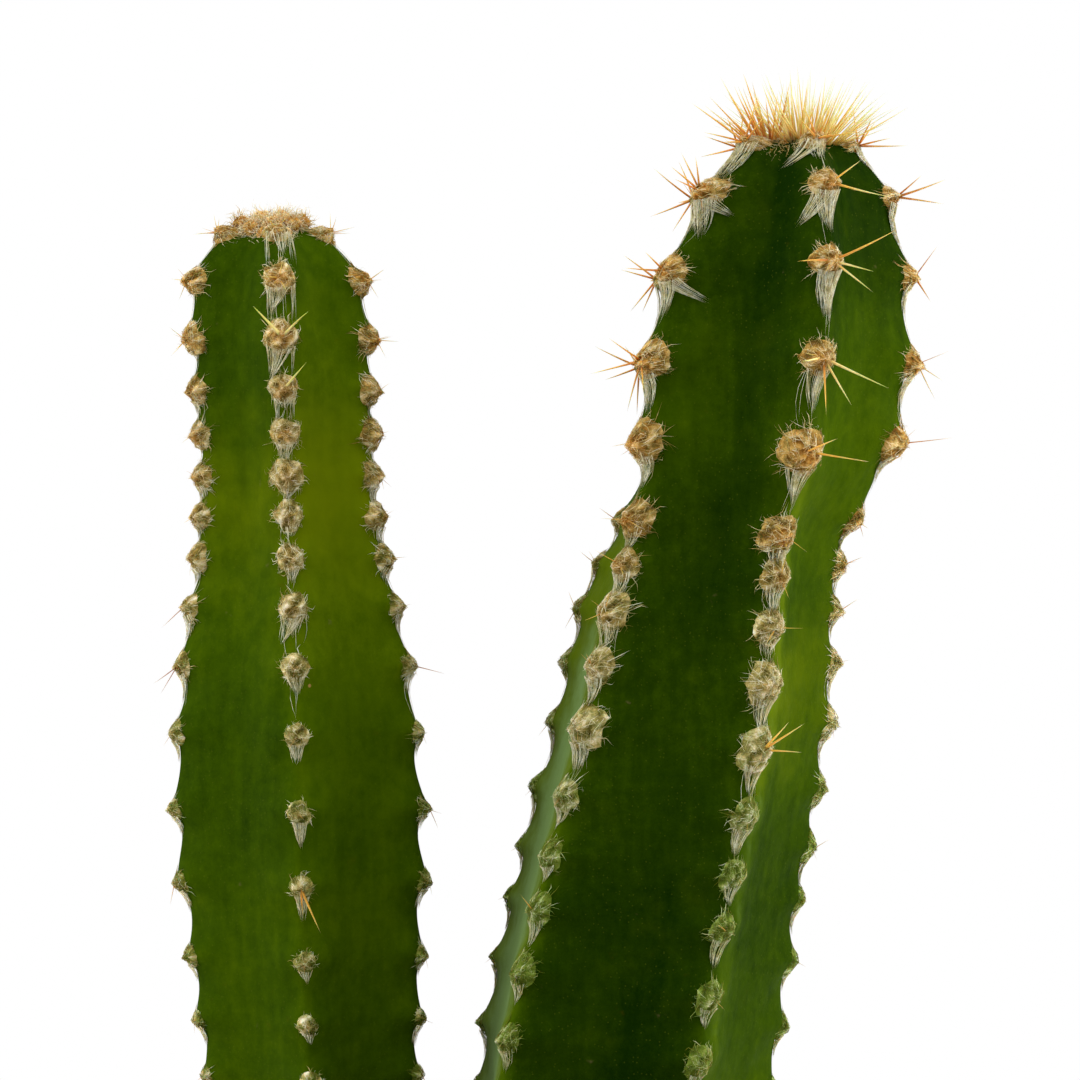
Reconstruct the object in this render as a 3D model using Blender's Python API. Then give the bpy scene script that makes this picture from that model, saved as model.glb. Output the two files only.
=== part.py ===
"""Potted fairy castle cactus, as a Blender 4.5 script. Metres, +Z up, origin at the centre of the pot's foot.

Two five-ribbed columns stand in potting mix in a plain clay pot. Each column is one grown body: its skin is
a formula of the distance down from the growing tip and the angle round the stem, and its woolly areoles and
spines are fused to it. The front, where an observer stands, is -Y.
"""

import math
import random
from dataclasses import dataclass

import bmesh
import bpy
import numpy as np
from mathutils import Matrix, Vector

MM = 0.001

# Clay pot, in millimetres
POT_HEIGHT = 112.0
POT_RIM_RADIUS = 65.0
POT_FOOT_RADIUS = 43.0
POT_WALL = 5.0
MOUTH_RADIUS = POT_RIM_RADIUS - 6.0
POT_FLOOR = 7.0
RIM_BAND_HEIGHT = 25.0
BAND_FOOT = POT_HEIGHT - RIM_BAND_HEIGHT
KNEE = BAND_FOOT - 2.0
RIM_BAND_STEP = 3.5
RIM_BAND_FLARE = 1.2
DRAIN_RADIUS = 7.0
POT_EDGE_ROUND = 1.4
POT_SIDES = 40

# Potting mix, in millimetres
SOIL_LEVEL = 100.0
SOIL_RELIEF = 1.3
SOIL_RINGS = 6
SOIL_EDGE = SOIL_LEVEL - 0.8
FIT_GAP = 0.3

# Stems
RIBS = 5
RIB_STEP = 2 * math.pi / RIBS
FLANK_TURN = math.radians(12)
SCALLOP_SHARE = 0.13
DIP_PLACE = 0.36
SCALLOP_SKEW = math.log(0.5) / math.log(DIP_PLACE)
SCALLOP_WIDTH = math.radians(12)
LOWEST_AREOLE = 7.0
COLLAR_HEIGHT = 4.0
BURIED_RINGS = 5
TIP_RINGS = (1.2, 3.2)
CURVE_SAMPLES = 1200

# Woolly areoles and spines, in millimetres
AREOLE_SIDES = 5
AREOLE_CROWN = 0.62
AREOLE_SUNK = 1.5
OLD_LEVEL = 16
TIP_PAD_SIDES = 8
TIP_PAD_PROFILE = ((0.55, 1.6), (0.95, 0.8), (1.0, -1.4))
TUFT_LEANS = (12, 60)
GOLDEN_TURN = math.pi * (3 - math.sqrt(5))
SPINE_SIDES = 3
SPINE_BASE_RADIUS = 0.45
SPINE_SUNK = 0.9
SPINE_FOOT_LIFT = 0.5
SPINE_CLEARANCE = 1.2


@dataclass(frozen=True)
class SpineZone:
    """How the areoles down to this level are armed: one areole in so many, with so many spines each."""

    down_to_level: int
    one_in: int
    count: int
    length: float
    lean_degrees: float


@dataclass(frozen=True)
class StemPlan:
    """One column. Heights are above the potting mix, and every length is in millimetres.

    outline: (height, crest radius) from the growing tip down to the buried root end.
    lean: (height, x, y) of the centre line, from the root end up.
    habit: (height, turn of the first rib in degrees, hollow of the faces, roundness), from the root end up.
    spacing: (height, crest length from one areole to the next), from the root end up.
    lag: (height, how far above the first rib's areoles the other ribs' sit, as a share of the spacing).
    rib_reach: each rib's crest radius as a share of the outline's.
    """

    name: str
    seed: int
    outline: tuple
    lean: tuple
    habit: tuple
    spacing: tuple
    lag: tuple
    rib_reach: tuple
    areole_radius: float
    tip_pad_radius: float
    tip_spines: int
    tip_spine_length: float
    zones: tuple


SHORT_STEM = StemPlan(
    name="stem_short",
    seed=11,
    outline=(
        (164.0, 0.0),
        (164.4, 3.0),
        (163.6, 6.8),
        (161.2, 9.8),
        (157.2, 11.8),
        (152.0, 12.5),
        (145.0, 12.5),
        (132.0, 12.2),
        (122.0, 13.1),
        (110.0, 15.5),
        (98.0, 16.9),
        (84.0, 17.3),
        (70.0, 16.1),
        (57.0, 14.9),
        (44.0, 13.9),
        (25.0, 12.8),
        (0.0, 11.6),
        (-24.0, 9.5),
    ),
    lean=(
        (-24.0, -17.9, 3.0),
        (0.0, -18.1, 3.0),
        (25.0, -18.3, 2.8),
        (50.0, -19.1, 2.6),
        (80.0, -20.6, 2.8),
        (110.0, -21.6, 3.4),
        (135.0, -22.8, 4.2),
        (165.0, -24.6, 5.4),
    ),
    habit=(
        (-24.0, 1.0, 0.05, 1.0),
        (1.0, 1.0, 0.05, 1.0),
        (14.0, 1.0, 0.04, 0.3),
        (30.0, 1.0, 0.04, 0.0),
        (50.0, 1.5, 0.05, 0.0),
        (105.0, 2.3, 0.05, 0.0),
        (135.0, 2.7, 0.07, 0.0),
        (150.0, 4.0, 0.09, 0.0),
        (165.0, 6.0, 0.13, 0.0),
    ),
    spacing=(
        (-24.0, 9.4),
        (36.0, 9.0),
        (50.0, 7.2),
        (64.0, 7.9),
        (75.0, 9.9),
        (85.0, 9.3),
        (95.0, 10.0),
        (104.0, 8.5),
        (114.0, 7.4),
        (122.0, 5.6),
        (133.0, 5.4),
        (142.0, 5.9),
        (150.0, 7.4),
        (165.0, 7.6),
    ),
    lag=((-24.0, 0.0), (165.0, 0.0)),
    rib_reach=(1.0, 1.0, 0.98, 0.98, 1.0),
    areole_radius=2.4,
    tip_pad_radius=3.6,
    tip_spines=8,
    tip_spine_length=3.4,
    zones=(
        SpineZone(3, 1, 3, 3.2, 50),
        SpineZone(9, 2, 1, 2.4, 60),
        SpineZone(99, 4, 1, 3.0, 60),
    ),
)

TALL_STEM = StemPlan(
    name="stem_tall",
    seed=23,
    outline=(
        (173.8, 0.0),
        (174.6, 3.4),
        (174.3, 6.8),
        (172.3, 10.4),
        (169.0, 13.2),
        (165.0, 15.3),
        (160.0, 17.3),
        (150.0, 19.4),
        (138.0, 19.0),
        (131.0, 18.2),
        (124.5, 16.7),
        (116.0, 17.9),
        (100.0, 19.7),
        (77.0, 20.7),
        (57.0, 21.4),
        (42.0, 19.8),
        (25.0, 16.8),
        (0.0, 13.5),
        (-26.0, 10.5),
    ),
    lean=(
        (-26.0, 12.4, -3.0),
        (0.0, 13.0, -3.0),
        (25.0, 16.0, -3.2),
        (42.0, 18.4, -3.6),
        (57.0, 20.5, -4.0),
        (77.0, 23.9, -4.6),
        (100.0, 28.9, -5.2),
        (116.0, 31.4, -5.8),
        (124.0, 33.6, -6.1),
        (131.0, 36.6, -6.4),
        (138.0, 38.2, -6.7),
        (150.0, 39.4, -7.0),
        (162.0, 40.9, -7.3),
        (176.0, 43.2, -7.8),
    ),
    habit=(
        (-26.0, 28.0, 0.05, 1.0),
        (1.0, 28.0, 0.05, 1.0),
        (14.0, 28.0, 0.04, 0.3),
        (30.0, 28.0, 0.04, 0.0),
        (57.0, 27.5, 0.04, 0.0),
        (78.0, 29.0, 0.04, 0.0),
        (100.0, 29.2, 0.05, 0.0),
        (110.0, 29.8, 0.06, 0.0),
        (120.0, 28.5, 0.08, 0.0),
        (128.0, 22.5, 0.10, 0.0),
        (137.0, 18.5, 0.11, 0.0),
        (150.0, 20.5, 0.13, 0.0),
        (162.0, 21.5, 0.16, 0.0),
        (176.0, 21.0, 0.19, 0.0),
    ),
    spacing=(
        (-26.0, 9.6),
        (40.0, 9.6),
        (50.0, 9.0),
        (60.0, 8.1),
        (70.0, 8.8),
        (78.0, 6.7),
        (88.0, 7.8),
        (97.0, 8.8),
        (105.0, 7.7),
        (112.0, 6.9),
        (117.0, 6.3),
        (123.0, 5.4),
        (128.0, 11.0),
        (134.0, 12.7),
        (140.0, 11.4),
        (153.0, 12.5),
        (163.0, 11.2),
        (170.0, 9.0),
        (176.0, 7.0),
    ),
    lag=(
        (-26.0, 0.32),
        (60.0, 0.32),
        (114.0, 0.28),
        (126.0, 0.25),
        (142.0, 0.03),
        (160.0, -0.1),
        (176.0, -0.1),
    ),
    rib_reach=(1.0, 1.0, 0.98, 0.94, 1.0),
    areole_radius=2.7,
    tip_pad_radius=4.4,
    tip_spines=14,
    tip_spine_length=8.4,
    zones=(
        SpineZone(4, 1, 5, 6.0, 52),
        SpineZone(8, 1, 2, 3.6, 60),
        SpineZone(99, 4, 1, 3.0, 60),
    ),
)


def through(keys, values, at):
    """Values on a smooth curve through rising keys: a cubic between neighbours, sloped by both sides."""
    keys, values, at = (np.asarray(a, float) for a in (keys, values, at))
    slopes = np.gradient(values, keys)
    i = np.clip(np.searchsorted(keys, at) - 1, 0, len(keys) - 2)
    step = keys[i + 1] - keys[i]
    t = np.clip((at - keys[i]) / step, 0, 1)
    rise = 3 * t**2 - 2 * t**3
    return (
        values[i] * (1 - rise)
        + values[i + 1] * rise
        + slopes[i] * step * t * (1 - t) ** 2
        - slopes[i + 1] * step * t**2 * (1 - t)
    )


class StemForm:
    """The formula of one stem's skin, worked out from its plan."""

    def __init__(self, plan):
        self.plan = plan
        heights, radii = np.array(plan.outline).T
        chords = np.r_[0, np.cumsum(np.hypot(np.diff(heights), np.diff(radii)))]
        place = np.linspace(0, chords[-1], CURVE_SAMPLES)
        self.height = through(chords, heights, place)
        self.radius = np.maximum(through(chords, radii, place), 0)
        steps = np.hypot(np.diff(self.height), np.diff(self.radius))
        self.along = np.r_[0, np.cumsum(steps)]
        lean = np.array(plan.lean).T
        self.x = through(lean[0], lean[1], self.height)
        self.y = through(lean[0], lean[2], self.height)
        habit = np.array(plan.habit).T
        self.turn = np.radians(through(habit[0], habit[1], self.height))
        self.hollow = through(habit[0], habit[2], self.height)
        self.roundness = np.clip(through(habit[0], habit[3], self.height), 0, 1)
        self.spacing = through(*np.array(plan.spacing).T, self.height)
        mean_spacing = (self.spacing[1:] + self.spacing[:-1]) / 2
        self.level = np.r_[0, np.cumsum(steps / mean_spacing)]
        self.lag = through(*np.array(plan.lag).T, self.height)
        self.length = self.along[-1]

    def at(self, along, channel):
        """One channel's value at a distance down the crest from the growing tip."""
        return np.interp(along, self.along, channel)

    def lagging(self, angle):
        """The share of the lag at an angle: none on the first rib, all from its neighbours on, eased by a cosine."""
        turn = np.abs(np.angle(np.exp(1j * np.asarray(angle, float))))
        return (1 - np.cos(math.pi * np.minimum(turn / RIB_STEP, 1))) / 2

    def place_of_level(self, level, angle=0.0):
        """How far down the crest a level of areoles lies, at an angle round the stem."""
        return float(np.interp(level, self.level + self.lag * self.lagging(angle), self.along))

    def at_height(self, height):
        """How far down the crest the stem passes a height above the potting mix, below its domed top."""
        top = int(np.argmax(self.height))
        return float(np.interp(-height, -self.height[top:], self.along[top:]))

    def skin(self, along, angle, grow=0.0):
        """Points of the skin in millimetres. The angle runs round the stem from the first rib's crest.

        A face is a pentagon's side, cos(36)/cos(36 - a) of the crest radius at an angle a off the crest, less
        the hollow times sin(90 a / 36). Near the root it blends to a circle. The crest is full at each
        areole and dips by a share of the spacing, a third of the way down to the next one.
        """
        along, angle = np.broadcast_arrays(np.asarray(along, float), np.asarray(angle, float))
        half = RIB_STEP / 2
        rib = np.round(angle / RIB_STEP).astype(int)
        off_crest = np.abs(angle - rib * RIB_STEP)
        round_share = self.at(along, self.roundness)
        flat = math.cos(half) / np.cos(half - off_crest)
        hollow = self.at(along, self.hollow) * np.sin(math.pi / 2 * off_crest / half)
        reach = self.reach_at(angle) * (1 - round_share) + round_share
        share = (flat - hollow) * (1 - round_share) + round_share
        radius = self.at(along, self.radius)
        level = self.at(along, self.level) + self.at(along, self.lag) * self.lagging(angle)
        between = np.sin(math.pi * (level % 1) ** SCALLOP_SKEW)
        crest = np.exp(-((off_crest / SCALLOP_WIDTH) ** 2)) * (1 - round_share)
        depth = SCALLOP_SHARE * self.at(along, self.spacing)
        dip = depth * np.minimum(radius / 8, 1) * between * crest
        out = radius * share * reach - dip + grow
        heading = self.at(along, self.turn) + angle
        return np.stack(
            [
                self.at(along, self.x) + out * np.sin(heading),
                self.at(along, self.y) - out * np.cos(heading),
                SOIL_LEVEL + self.at(along, self.height),
            ],
            axis=-1,
        )

    def reach_at(self, angle):
        """Each rib's own share of the crest radius, eased from rib to rib by a cosine."""
        place = (angle / RIB_STEP) % RIBS
        low = np.floor(place).astype(int) % RIBS
        shares = np.array(self.plan.rib_reach)
        ease = (1 - np.cos(math.pi * (place % 1))) / 2
        return shares[low] * (1 - ease) + shares[(low + 1) % RIBS] * ease

    def frame(self, along, rib):
        """(point, outward normal, direction towards the tip, sideways) on a rib's crest."""
        nudge = 0.4
        angle = rib * RIB_STEP
        point = self.skin(along, angle)
        upward = self.skin(max(along - nudge, 0), angle) - self.skin(along + nudge, angle)
        sideways = self.skin(along, angle + 0.02) - self.skin(along, angle - 0.02)
        upward = Vector(upward).normalized()
        sideways = Vector(sideways).normalized()
        normal = sideways.cross(upward).normalized()
        return Vector(point), normal, sideways.cross(-normal).normalized(), sideways

    def crowds(self, point):
        """Whether a point in millimetres lies within SPINE_CLEARANCE of this stem."""
        height = point.z - SOIL_LEVEL
        if height > self.height.max():
            return False
        row = int(np.argmin(np.abs(self.height[::-1] - height)))
        row = len(self.height) - 1 - row
        off = math.hypot(point.x - self.x[row], point.y - self.y[row])
        return off < self.radius[row] + SPINE_CLEARANCE


def material(name, colour, roughness):
    """A plain finish: a Principled BSDF of one colour and roughness."""
    made = bpy.data.materials.new(name)
    made.use_nodes = True
    shader = made.node_tree.nodes["Principled BSDF"]
    shader.inputs["Base Color"].default_value = (*colour, 1.0)
    shader.inputs["Roughness"].default_value = roughness
    shader.inputs["Metallic"].default_value = 0.0
    return made


def new_object(name, mesh, finish):
    """A named object in the scene from a mesh and its finish."""
    mesh.materials.append(finish)
    obj = bpy.data.objects.new(name, mesh)
    bpy.context.scene.collection.objects.link(obj)
    return obj


def mesh_from(name, points_mm, faces):
    """A mesh from points in millimetres."""
    mesh = bpy.data.meshes.new(name)
    mesh.from_pydata([tuple(p) for p in np.asarray(points_mm) * MM], [], faces)
    mesh.update()
    return mesh


def applied(obj):
    """The object with its modifiers applied to its own mesh."""
    graph = bpy.context.evaluated_depsgraph_get()
    mesh = bpy.data.meshes.new_from_object(obj.evaluated_get(graph))
    obj.modifiers.clear()
    obj.data = mesh
    return obj


def remove(objects):
    """Takes helper objects and their meshes out of the file."""
    for obj in objects:
        mesh = obj.data
        bpy.data.objects.remove(obj)
        if mesh.users == 0:
            bpy.data.meshes.remove(mesh)


def fuse(body, repeats):
    """Joins the repeats to the body with one Boolean union on their collection, then removes them."""
    group = bpy.data.collections.new(f"{body.name}_repeats")
    bpy.context.scene.collection.children.link(group)
    for piece in repeats:
        bpy.context.scene.collection.objects.unlink(piece)
        group.objects.link(piece)
    union = body.modifiers.new("fuse", "BOOLEAN")
    union.operation = "UNION"
    union.operand_type = "COLLECTION"
    union.collection = group
    union.solver = "MANIFOLD"
    union.material_mode = "TRANSFER"
    applied(body)
    remove(repeats)
    bpy.data.collections.remove(group)
    return body


def ring_places(form):
    """Where each column of the stem's mesh has its rings: two round the tip, each areole, each dip, the root.

    A ring climbs with the lag, so that it meets every rib at its areole or its dip.
    """
    areoles = np.arange(1, math.ceil(form.level[-1]))
    levels = np.sort(np.r_[areoles, areoles + DIP_PLACE])
    lowest = form.at_height(COLLAR_HEIGHT)
    levels = [n for n in levels if form.place_of_level(n) < lowest]
    columns = []
    for angle in column_angles():
        body = [form.place_of_level(n, angle) for n in levels]
        columns.append([*TIP_RINGS, *body, *buried_places(form)])
    return np.array(columns).T


def buried_places(form):
    """Distances down the crest of the rings from just above the potting mix to the root end."""
    return np.linspace(form.at_height(COLLAR_HEIGHT), form.length, BURIED_RINGS)


def column_angles():
    """Angles of the stem's mesh columns: each crest, a flank on both sides of it, and each valley."""
    offsets = (0.0, FLANK_TURN, RIB_STEP / 2, RIB_STEP - FLANK_TURN)
    return np.array([rib * RIB_STEP + turn for rib in range(RIBS) for turn in offsets])


def tube(rings, tip=None):
    """(points, faces) of a closed tube through equal rings, top first, with a pole or a flat cap on top."""
    count = rings.shape[1]
    points = rings.reshape(-1, 3)
    step = np.arange(count)
    following = (step + 1) % count
    faces = []
    for row in range(len(rings) - 1):
        high, low = row * count, (row + 1) * count
        faces += [(high + a, low + a, low + b, high + b) for a, b in zip(step, following)]
    faces.append(tuple(((len(rings) - 1) * count + step)[::-1]))
    if tip is None:
        faces.append(tuple(step))
        return points, faces
    faces += [(len(points), a, b) for a, b in zip(step, following)]
    return np.vstack([points, tip]), faces


def pad(form, along, rib, radius, height, finish, spin):
    """A woolly areole: a five-sided frustum that straddles the crest, sunk into it at its root."""
    point, normal, upward, sideways = form.frame(along, rib)
    corners = []
    for reach, lift in ((AREOLE_CROWN, height), (1.0, -AREOLE_SUNK)):
        for corner in range(AREOLE_SIDES):
            turn = spin + 2 * math.pi * corner / AREOLE_SIDES
            across = sideways * math.cos(turn) + upward * math.sin(turn)
            corners.append(point + across * radius * reach + normal * lift)
    rings = np.array([tuple(c) for c in corners]).reshape(2, AREOLE_SIDES, 3)
    points, faces = tube(rings)
    mesh = mesh_from("pad", points, faces)
    outward(mesh)
    return new_object("pad", mesh, finish)


def outward(mesh):
    """Turns every face of a closed mesh outwards."""
    work = bmesh.new()
    work.from_mesh(mesh)
    bmesh.ops.recalc_face_normals(work, faces=work.faces)
    work.to_mesh(mesh)
    work.free()


def spine(root, direction, length, finish):
    """A spine: a three-sided needle from a point under the wool to its tip."""
    work = bmesh.new()
    bmesh.ops.create_cone(
        work,
        cap_ends=True,
        segments=SPINE_SIDES,
        radius1=SPINE_BASE_RADIUS * MM,
        radius2=0.0,
        depth=(length + SPINE_SUNK) * MM,
    )
    centre = root + direction * (length - SPINE_SUNK) / 2
    turned = direction.to_track_quat("Z", "Y").to_matrix().to_4x4()
    work.transform(Matrix.Translation(centre * MM) @ turned)
    mesh = bpy.data.meshes.new("spine")
    work.to_mesh(mesh)
    work.free()
    return new_object("spine", mesh, finish)


def zone_at(plan, level):
    """The spine zone that a level of areoles lies in."""
    return next(zone for zone in plan.zones if level < zone.down_to_level)


def arm_areole(form, along, rib, level, others, finish, chance):
    """The spines of one areole, fanned evenly round its normal with a seeded jitter, clear of other stems."""
    zone = zone_at(form.plan, level)
    if (level + rib) % zone.one_in:
        return []
    point, normal, upward, sideways = form.frame(along, rib)
    start = chance.uniform(0, 2 * math.pi)
    grown = []
    for number in range(zone.count):
        turn = start + 2 * math.pi * number / zone.count + chance.uniform(-0.3, 0.3)
        lean = math.radians(zone.lean_degrees + chance.uniform(-12, 12))
        across = sideways * math.cos(turn) + upward * math.sin(turn)
        direction = (normal * math.cos(lean) + across * math.sin(lean)).normalized()
        length = zone.length * chance.uniform(0.8, 1.15)
        tip = point + direction * (length + 1)
        if not any(other.crowds(tip) for other in others):
            grown.append(spine(point + normal * SPINE_FOOT_LIFT, direction, length, finish))
    return grown


def arm_tip(form, finish, chance):
    """The tuft at the growing tip: spines fanned from upright to wide, each turned on by the golden angle."""
    plan = form.plan
    top = Vector(form.skin(0.0, 0.0))
    grown = []
    for number in range(plan.tip_spines):
        turn = number * GOLDEN_TURN
        lean = math.radians(np.interp(number, (0, plan.tip_spines), TUFT_LEANS))
        direction = Vector((math.sin(turn) * math.sin(lean), math.cos(turn) * math.sin(lean), math.cos(lean)))
        foot = Vector((direction.x, direction.y, 0)) * plan.tip_pad_radius * 0.7
        length = plan.tip_spine_length * chance.uniform(0.85, 1.1)
        grown.append(spine(top + foot + Vector((0, 0, SPINE_FOOT_LIFT)), direction, length, finish))
    return grown


def areole_places(form):
    """(rib, level, distance down the crest) of every areole that stands clear of the potting mix."""
    lowest = form.at_height(LOWEST_AREOLE)
    found = []
    for rib in range(RIBS):
        for step in range(math.ceil(form.level[-1])):
            along = form.place_of_level(step + 1, rib * RIB_STEP)
            if along < lowest:
                found.append((rib, step, along))
    return found


def build_stem(form, others, finishes):
    """One column: its ribbed skin, with the woolly areoles and spines fused to it."""
    plan = form.plan
    rings = form.skin(ring_places(form), column_angles()[None, :])
    points, faces = tube(rings, tip=form.skin(0.0, 0.0))
    mesh = mesh_from(plan.name, points, faces)
    outward(mesh)
    body = new_object(plan.name, mesh, finishes["skin"])
    chance = random.Random(plan.seed)
    repeats = [tip_pad(form, finishes["wool"])]
    repeats += arm_tip(form, finishes["spine"], chance)
    for rib, level, along in areole_places(form):
        age = min(level / OLD_LEVEL, 1)
        radius = plan.areole_radius * (1.0 - 0.25 * age) * chance.uniform(0.92, 1.08)
        height = radius * (0.5 - 0.25 * age)
        spin = chance.uniform(0, 2 * math.pi)
        repeats.append(pad(form, along, rib, radius, height, finishes["wool"], spin))
        repeats += arm_areole(form, along, rib, level, others, finishes["spine"], chance)
    return fuse(body, repeats)


def tip_pad(form, finish):
    """The wool over the growing tip: a low eight-sided dome."""
    turns = np.arange(TIP_PAD_SIDES) * 2 * math.pi / TIP_PAD_SIDES
    reach, lift = (column[:, None] for column in np.array(TIP_PAD_PROFILE).T)
    out = form.plan.tip_pad_radius * reach
    around = [out * np.sin(turns), out * np.cos(turns), lift + 0 * turns]
    rings = np.stack(around, axis=-1) + form.skin(0.0, 0.0)
    mesh = mesh_from("tip_pad", *tube(rings))
    outward(mesh)
    return new_object("tip_pad", mesh, finish)


def turned(name, outline_mm, sides, finish):
    """A solid of revolution: a closed outline of (radius, height), spun round Z."""
    work = bmesh.new()
    ring = [work.verts.new((r * MM, 0, z * MM)) for r, z in outline_mm]
    edges = [work.edges.new((a, b)) for a, b in zip(ring, ring[1:] + ring[:1])]
    bmesh.ops.spin(
        work,
        geom=ring + edges,
        cent=(0, 0, 0),
        axis=(0, 0, 1),
        angle=2 * math.pi,
        steps=sides,
        use_merge=True,
    )
    bmesh.ops.remove_doubles(work, verts=work.verts, dist=0.00001)
    bmesh.ops.recalc_face_normals(work, faces=work.faces)
    mesh = bpy.data.meshes.new(name)
    work.to_mesh(mesh)
    work.free()
    return new_object(name, mesh, finish)


def pot_radius(height):
    """The pot's outer wall at a height, under its rim band."""
    return POT_FOOT_RADIUS + (POT_RIM_RADIUS - RIM_BAND_STEP - POT_FOOT_RADIUS) * height / POT_HEIGHT


def build_pot(finish):
    """A plain thrown pot: tapered wall, thick rim band with rounded edges, flat floor and a drain hole."""
    edge = POT_EDGE_ROUND
    band_low_radius = POT_RIM_RADIUS - RIM_BAND_FLARE
    outline = (
        (DRAIN_RADIUS, 0.0),
        (POT_FOOT_RADIUS - edge, 0.0),
        (POT_FOOT_RADIUS, edge),
        (pot_radius(BAND_FOOT), BAND_FOOT),
        (band_low_radius - edge / 2, BAND_FOOT),
        (band_low_radius, BAND_FOOT + edge),
        (POT_RIM_RADIUS, POT_HEIGHT - edge),
        (POT_RIM_RADIUS - edge, POT_HEIGHT),
        (MOUTH_RADIUS + edge, POT_HEIGHT),
        (MOUTH_RADIUS, POT_HEIGHT - edge),
        (pot_radius(BAND_FOOT) - POT_WALL, KNEE),
        (pot_radius(POT_FLOOR) - POT_WALL, POT_FLOOR),
        (DRAIN_RADIUS, POT_FLOOR),
    )
    return turned("pot", outline, POT_SIDES, finish)


def inner_radius(height):
    """The pot's inner wall at a height."""
    low = pot_radius(POT_FLOOR) - POT_WALL
    middle = pot_radius(BAND_FOOT) - POT_WALL
    heights = (POT_FLOOR, KNEE, POT_HEIGHT - POT_EDGE_ROUND)
    return float(np.interp(height, heights, (low, middle, MOUTH_RADIUS)))


def build_soil(forms, finish):
    """The potting mix: a plug that fills the pot, crumbly on top, with a plain hole where each stem stands."""
    top_radius = inner_radius(SOIL_EDGE) - FIT_GAP
    turns = np.arange(POT_SIDES) * 2 * math.pi / POT_SIDES
    chance = np.random.default_rng(5)
    lumps = chance.uniform(-1, 1, (SOIL_RINGS - 1, POT_SIDES))
    rings = []
    for number in range(SOIL_RINGS - 1):
        radius = top_radius * (number + 1) / SOIL_RINGS
        relief = SOIL_RELIEF * (0.5 * lumps[number] + 0.5 * np.sin(3 * turns + number))
        rings.append((np.full(POT_SIDES, radius), SOIL_EDGE + relief))
    for height in (SOIL_EDGE, KNEE, POT_FLOOR + FIT_GAP):
        radius = inner_radius(height) - FIT_GAP
        rings.append((np.full(POT_SIDES, radius), np.full(POT_SIDES, height)))
    stacked = [np.stack([r * np.cos(turns), r * np.sin(turns), z], axis=-1) for r, z in rings]
    points, faces = tube(np.array(stacked), tip=(0.0, 0.0, SOIL_LEVEL))
    mesh = mesh_from("soil", points, faces)
    outward(mesh)
    soil = new_object("soil", mesh, finish)
    for form in forms:
        hole = stem_hole(form)
        cut = soil.modifiers.new(f"hole_{form.plan.name}", "BOOLEAN")
        cut.operation = "DIFFERENCE"
        cut.object = hole
        applied(soil)
        remove([hole])
    return soil


def stem_hole(form):
    """The cutter for one stem's hole: the buried stem, grown by the fit gap on every side."""
    grow = FIT_GAP / math.cos(math.pi / len(column_angles()))
    rings = form.skin(buried_places(form)[:, None], column_angles()[None, :], grow)
    rings[-1, :, 2] -= FIT_GAP
    mesh = mesh_from("hole", *tube(rings))
    outward(mesh)
    cutter = new_object("hole", mesh, bpy.data.materials[0])
    cutter.hide_render = True
    cutter.display_type = "WIRE"
    return cutter


def main():
    """Clears the scene and builds the pot, the potting mix and the two stems."""
    for obj in list(bpy.data.objects):
        bpy.data.objects.remove(obj)
    clay = material("clay", (0.52, 0.22, 0.12), 0.85)
    earth = material("potting_mix", (0.055, 0.036, 0.024), 0.95)
    finishes = {
        "skin": material("green_skin", (0.05, 0.13, 0.012), 0.42),
        "wool": material("areole_wool", (0.62, 0.52, 0.40), 0.95),
        "spine": material("golden_spine", (0.66, 0.38, 0.07), 0.5),
    }
    forms = [StemForm(SHORT_STEM), StemForm(TALL_STEM)]
    build_pot(clay)
    build_soil(forms, earth)
    for form in forms:
        others = [other for other in forms if other is not form]
        stem = build_stem(form, others, finishes)
        stem.data.shade_smooth()
        stem.data.set_sharp_from_angle(angle=math.radians(40))


main()
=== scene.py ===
"""The looks of a potted fairy castle cactus, built round its solids. Metres, +Z up, the front faces -Y.

Two five-ribbed columns stand in potting mix in a plain clay pot. Each column is a skin worked out from a
formula of two numbers, the distance down the crest from the growing tip and the angle round the stem, with
wool, cobweb and spines grown on its areoles. Every length inside the classes is in millimetres until a
surface becomes a mesh.
"""

import logging  # noqa: E402
import math  # noqa: E402
import random  # noqa: E402
from collections.abc import Sequence  # noqa: E402
from dataclasses import dataclass, field  # noqa: E402
from enum import Enum  # noqa: E402

import bpy  # noqa: E402
import numpy as np  # noqa: E402
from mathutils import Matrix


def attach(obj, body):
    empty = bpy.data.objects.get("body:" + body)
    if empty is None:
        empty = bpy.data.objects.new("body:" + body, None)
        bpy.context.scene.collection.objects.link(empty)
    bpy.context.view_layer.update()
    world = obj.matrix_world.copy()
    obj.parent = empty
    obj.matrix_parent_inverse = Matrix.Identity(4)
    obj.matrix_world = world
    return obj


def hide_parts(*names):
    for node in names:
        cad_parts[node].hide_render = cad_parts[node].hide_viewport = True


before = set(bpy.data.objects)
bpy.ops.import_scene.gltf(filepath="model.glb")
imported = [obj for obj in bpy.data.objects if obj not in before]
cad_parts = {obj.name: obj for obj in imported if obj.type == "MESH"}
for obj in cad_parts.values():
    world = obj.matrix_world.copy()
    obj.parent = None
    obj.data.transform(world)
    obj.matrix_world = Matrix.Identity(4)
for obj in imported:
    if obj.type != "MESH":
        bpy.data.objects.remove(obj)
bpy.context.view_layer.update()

log = logging.getLogger("cactus")

Array = np.ndarray
Colour = tuple[float, float, float]
Socket = bpy.types.NodeSocket
Material = bpy.types.Material
NodeTree = bpy.types.NodeTree
# Roots, directions, lengths, root radii, root tones and tip tones of some spines, one row for each spine.
SpineSet = tuple[Array, ...]

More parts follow.
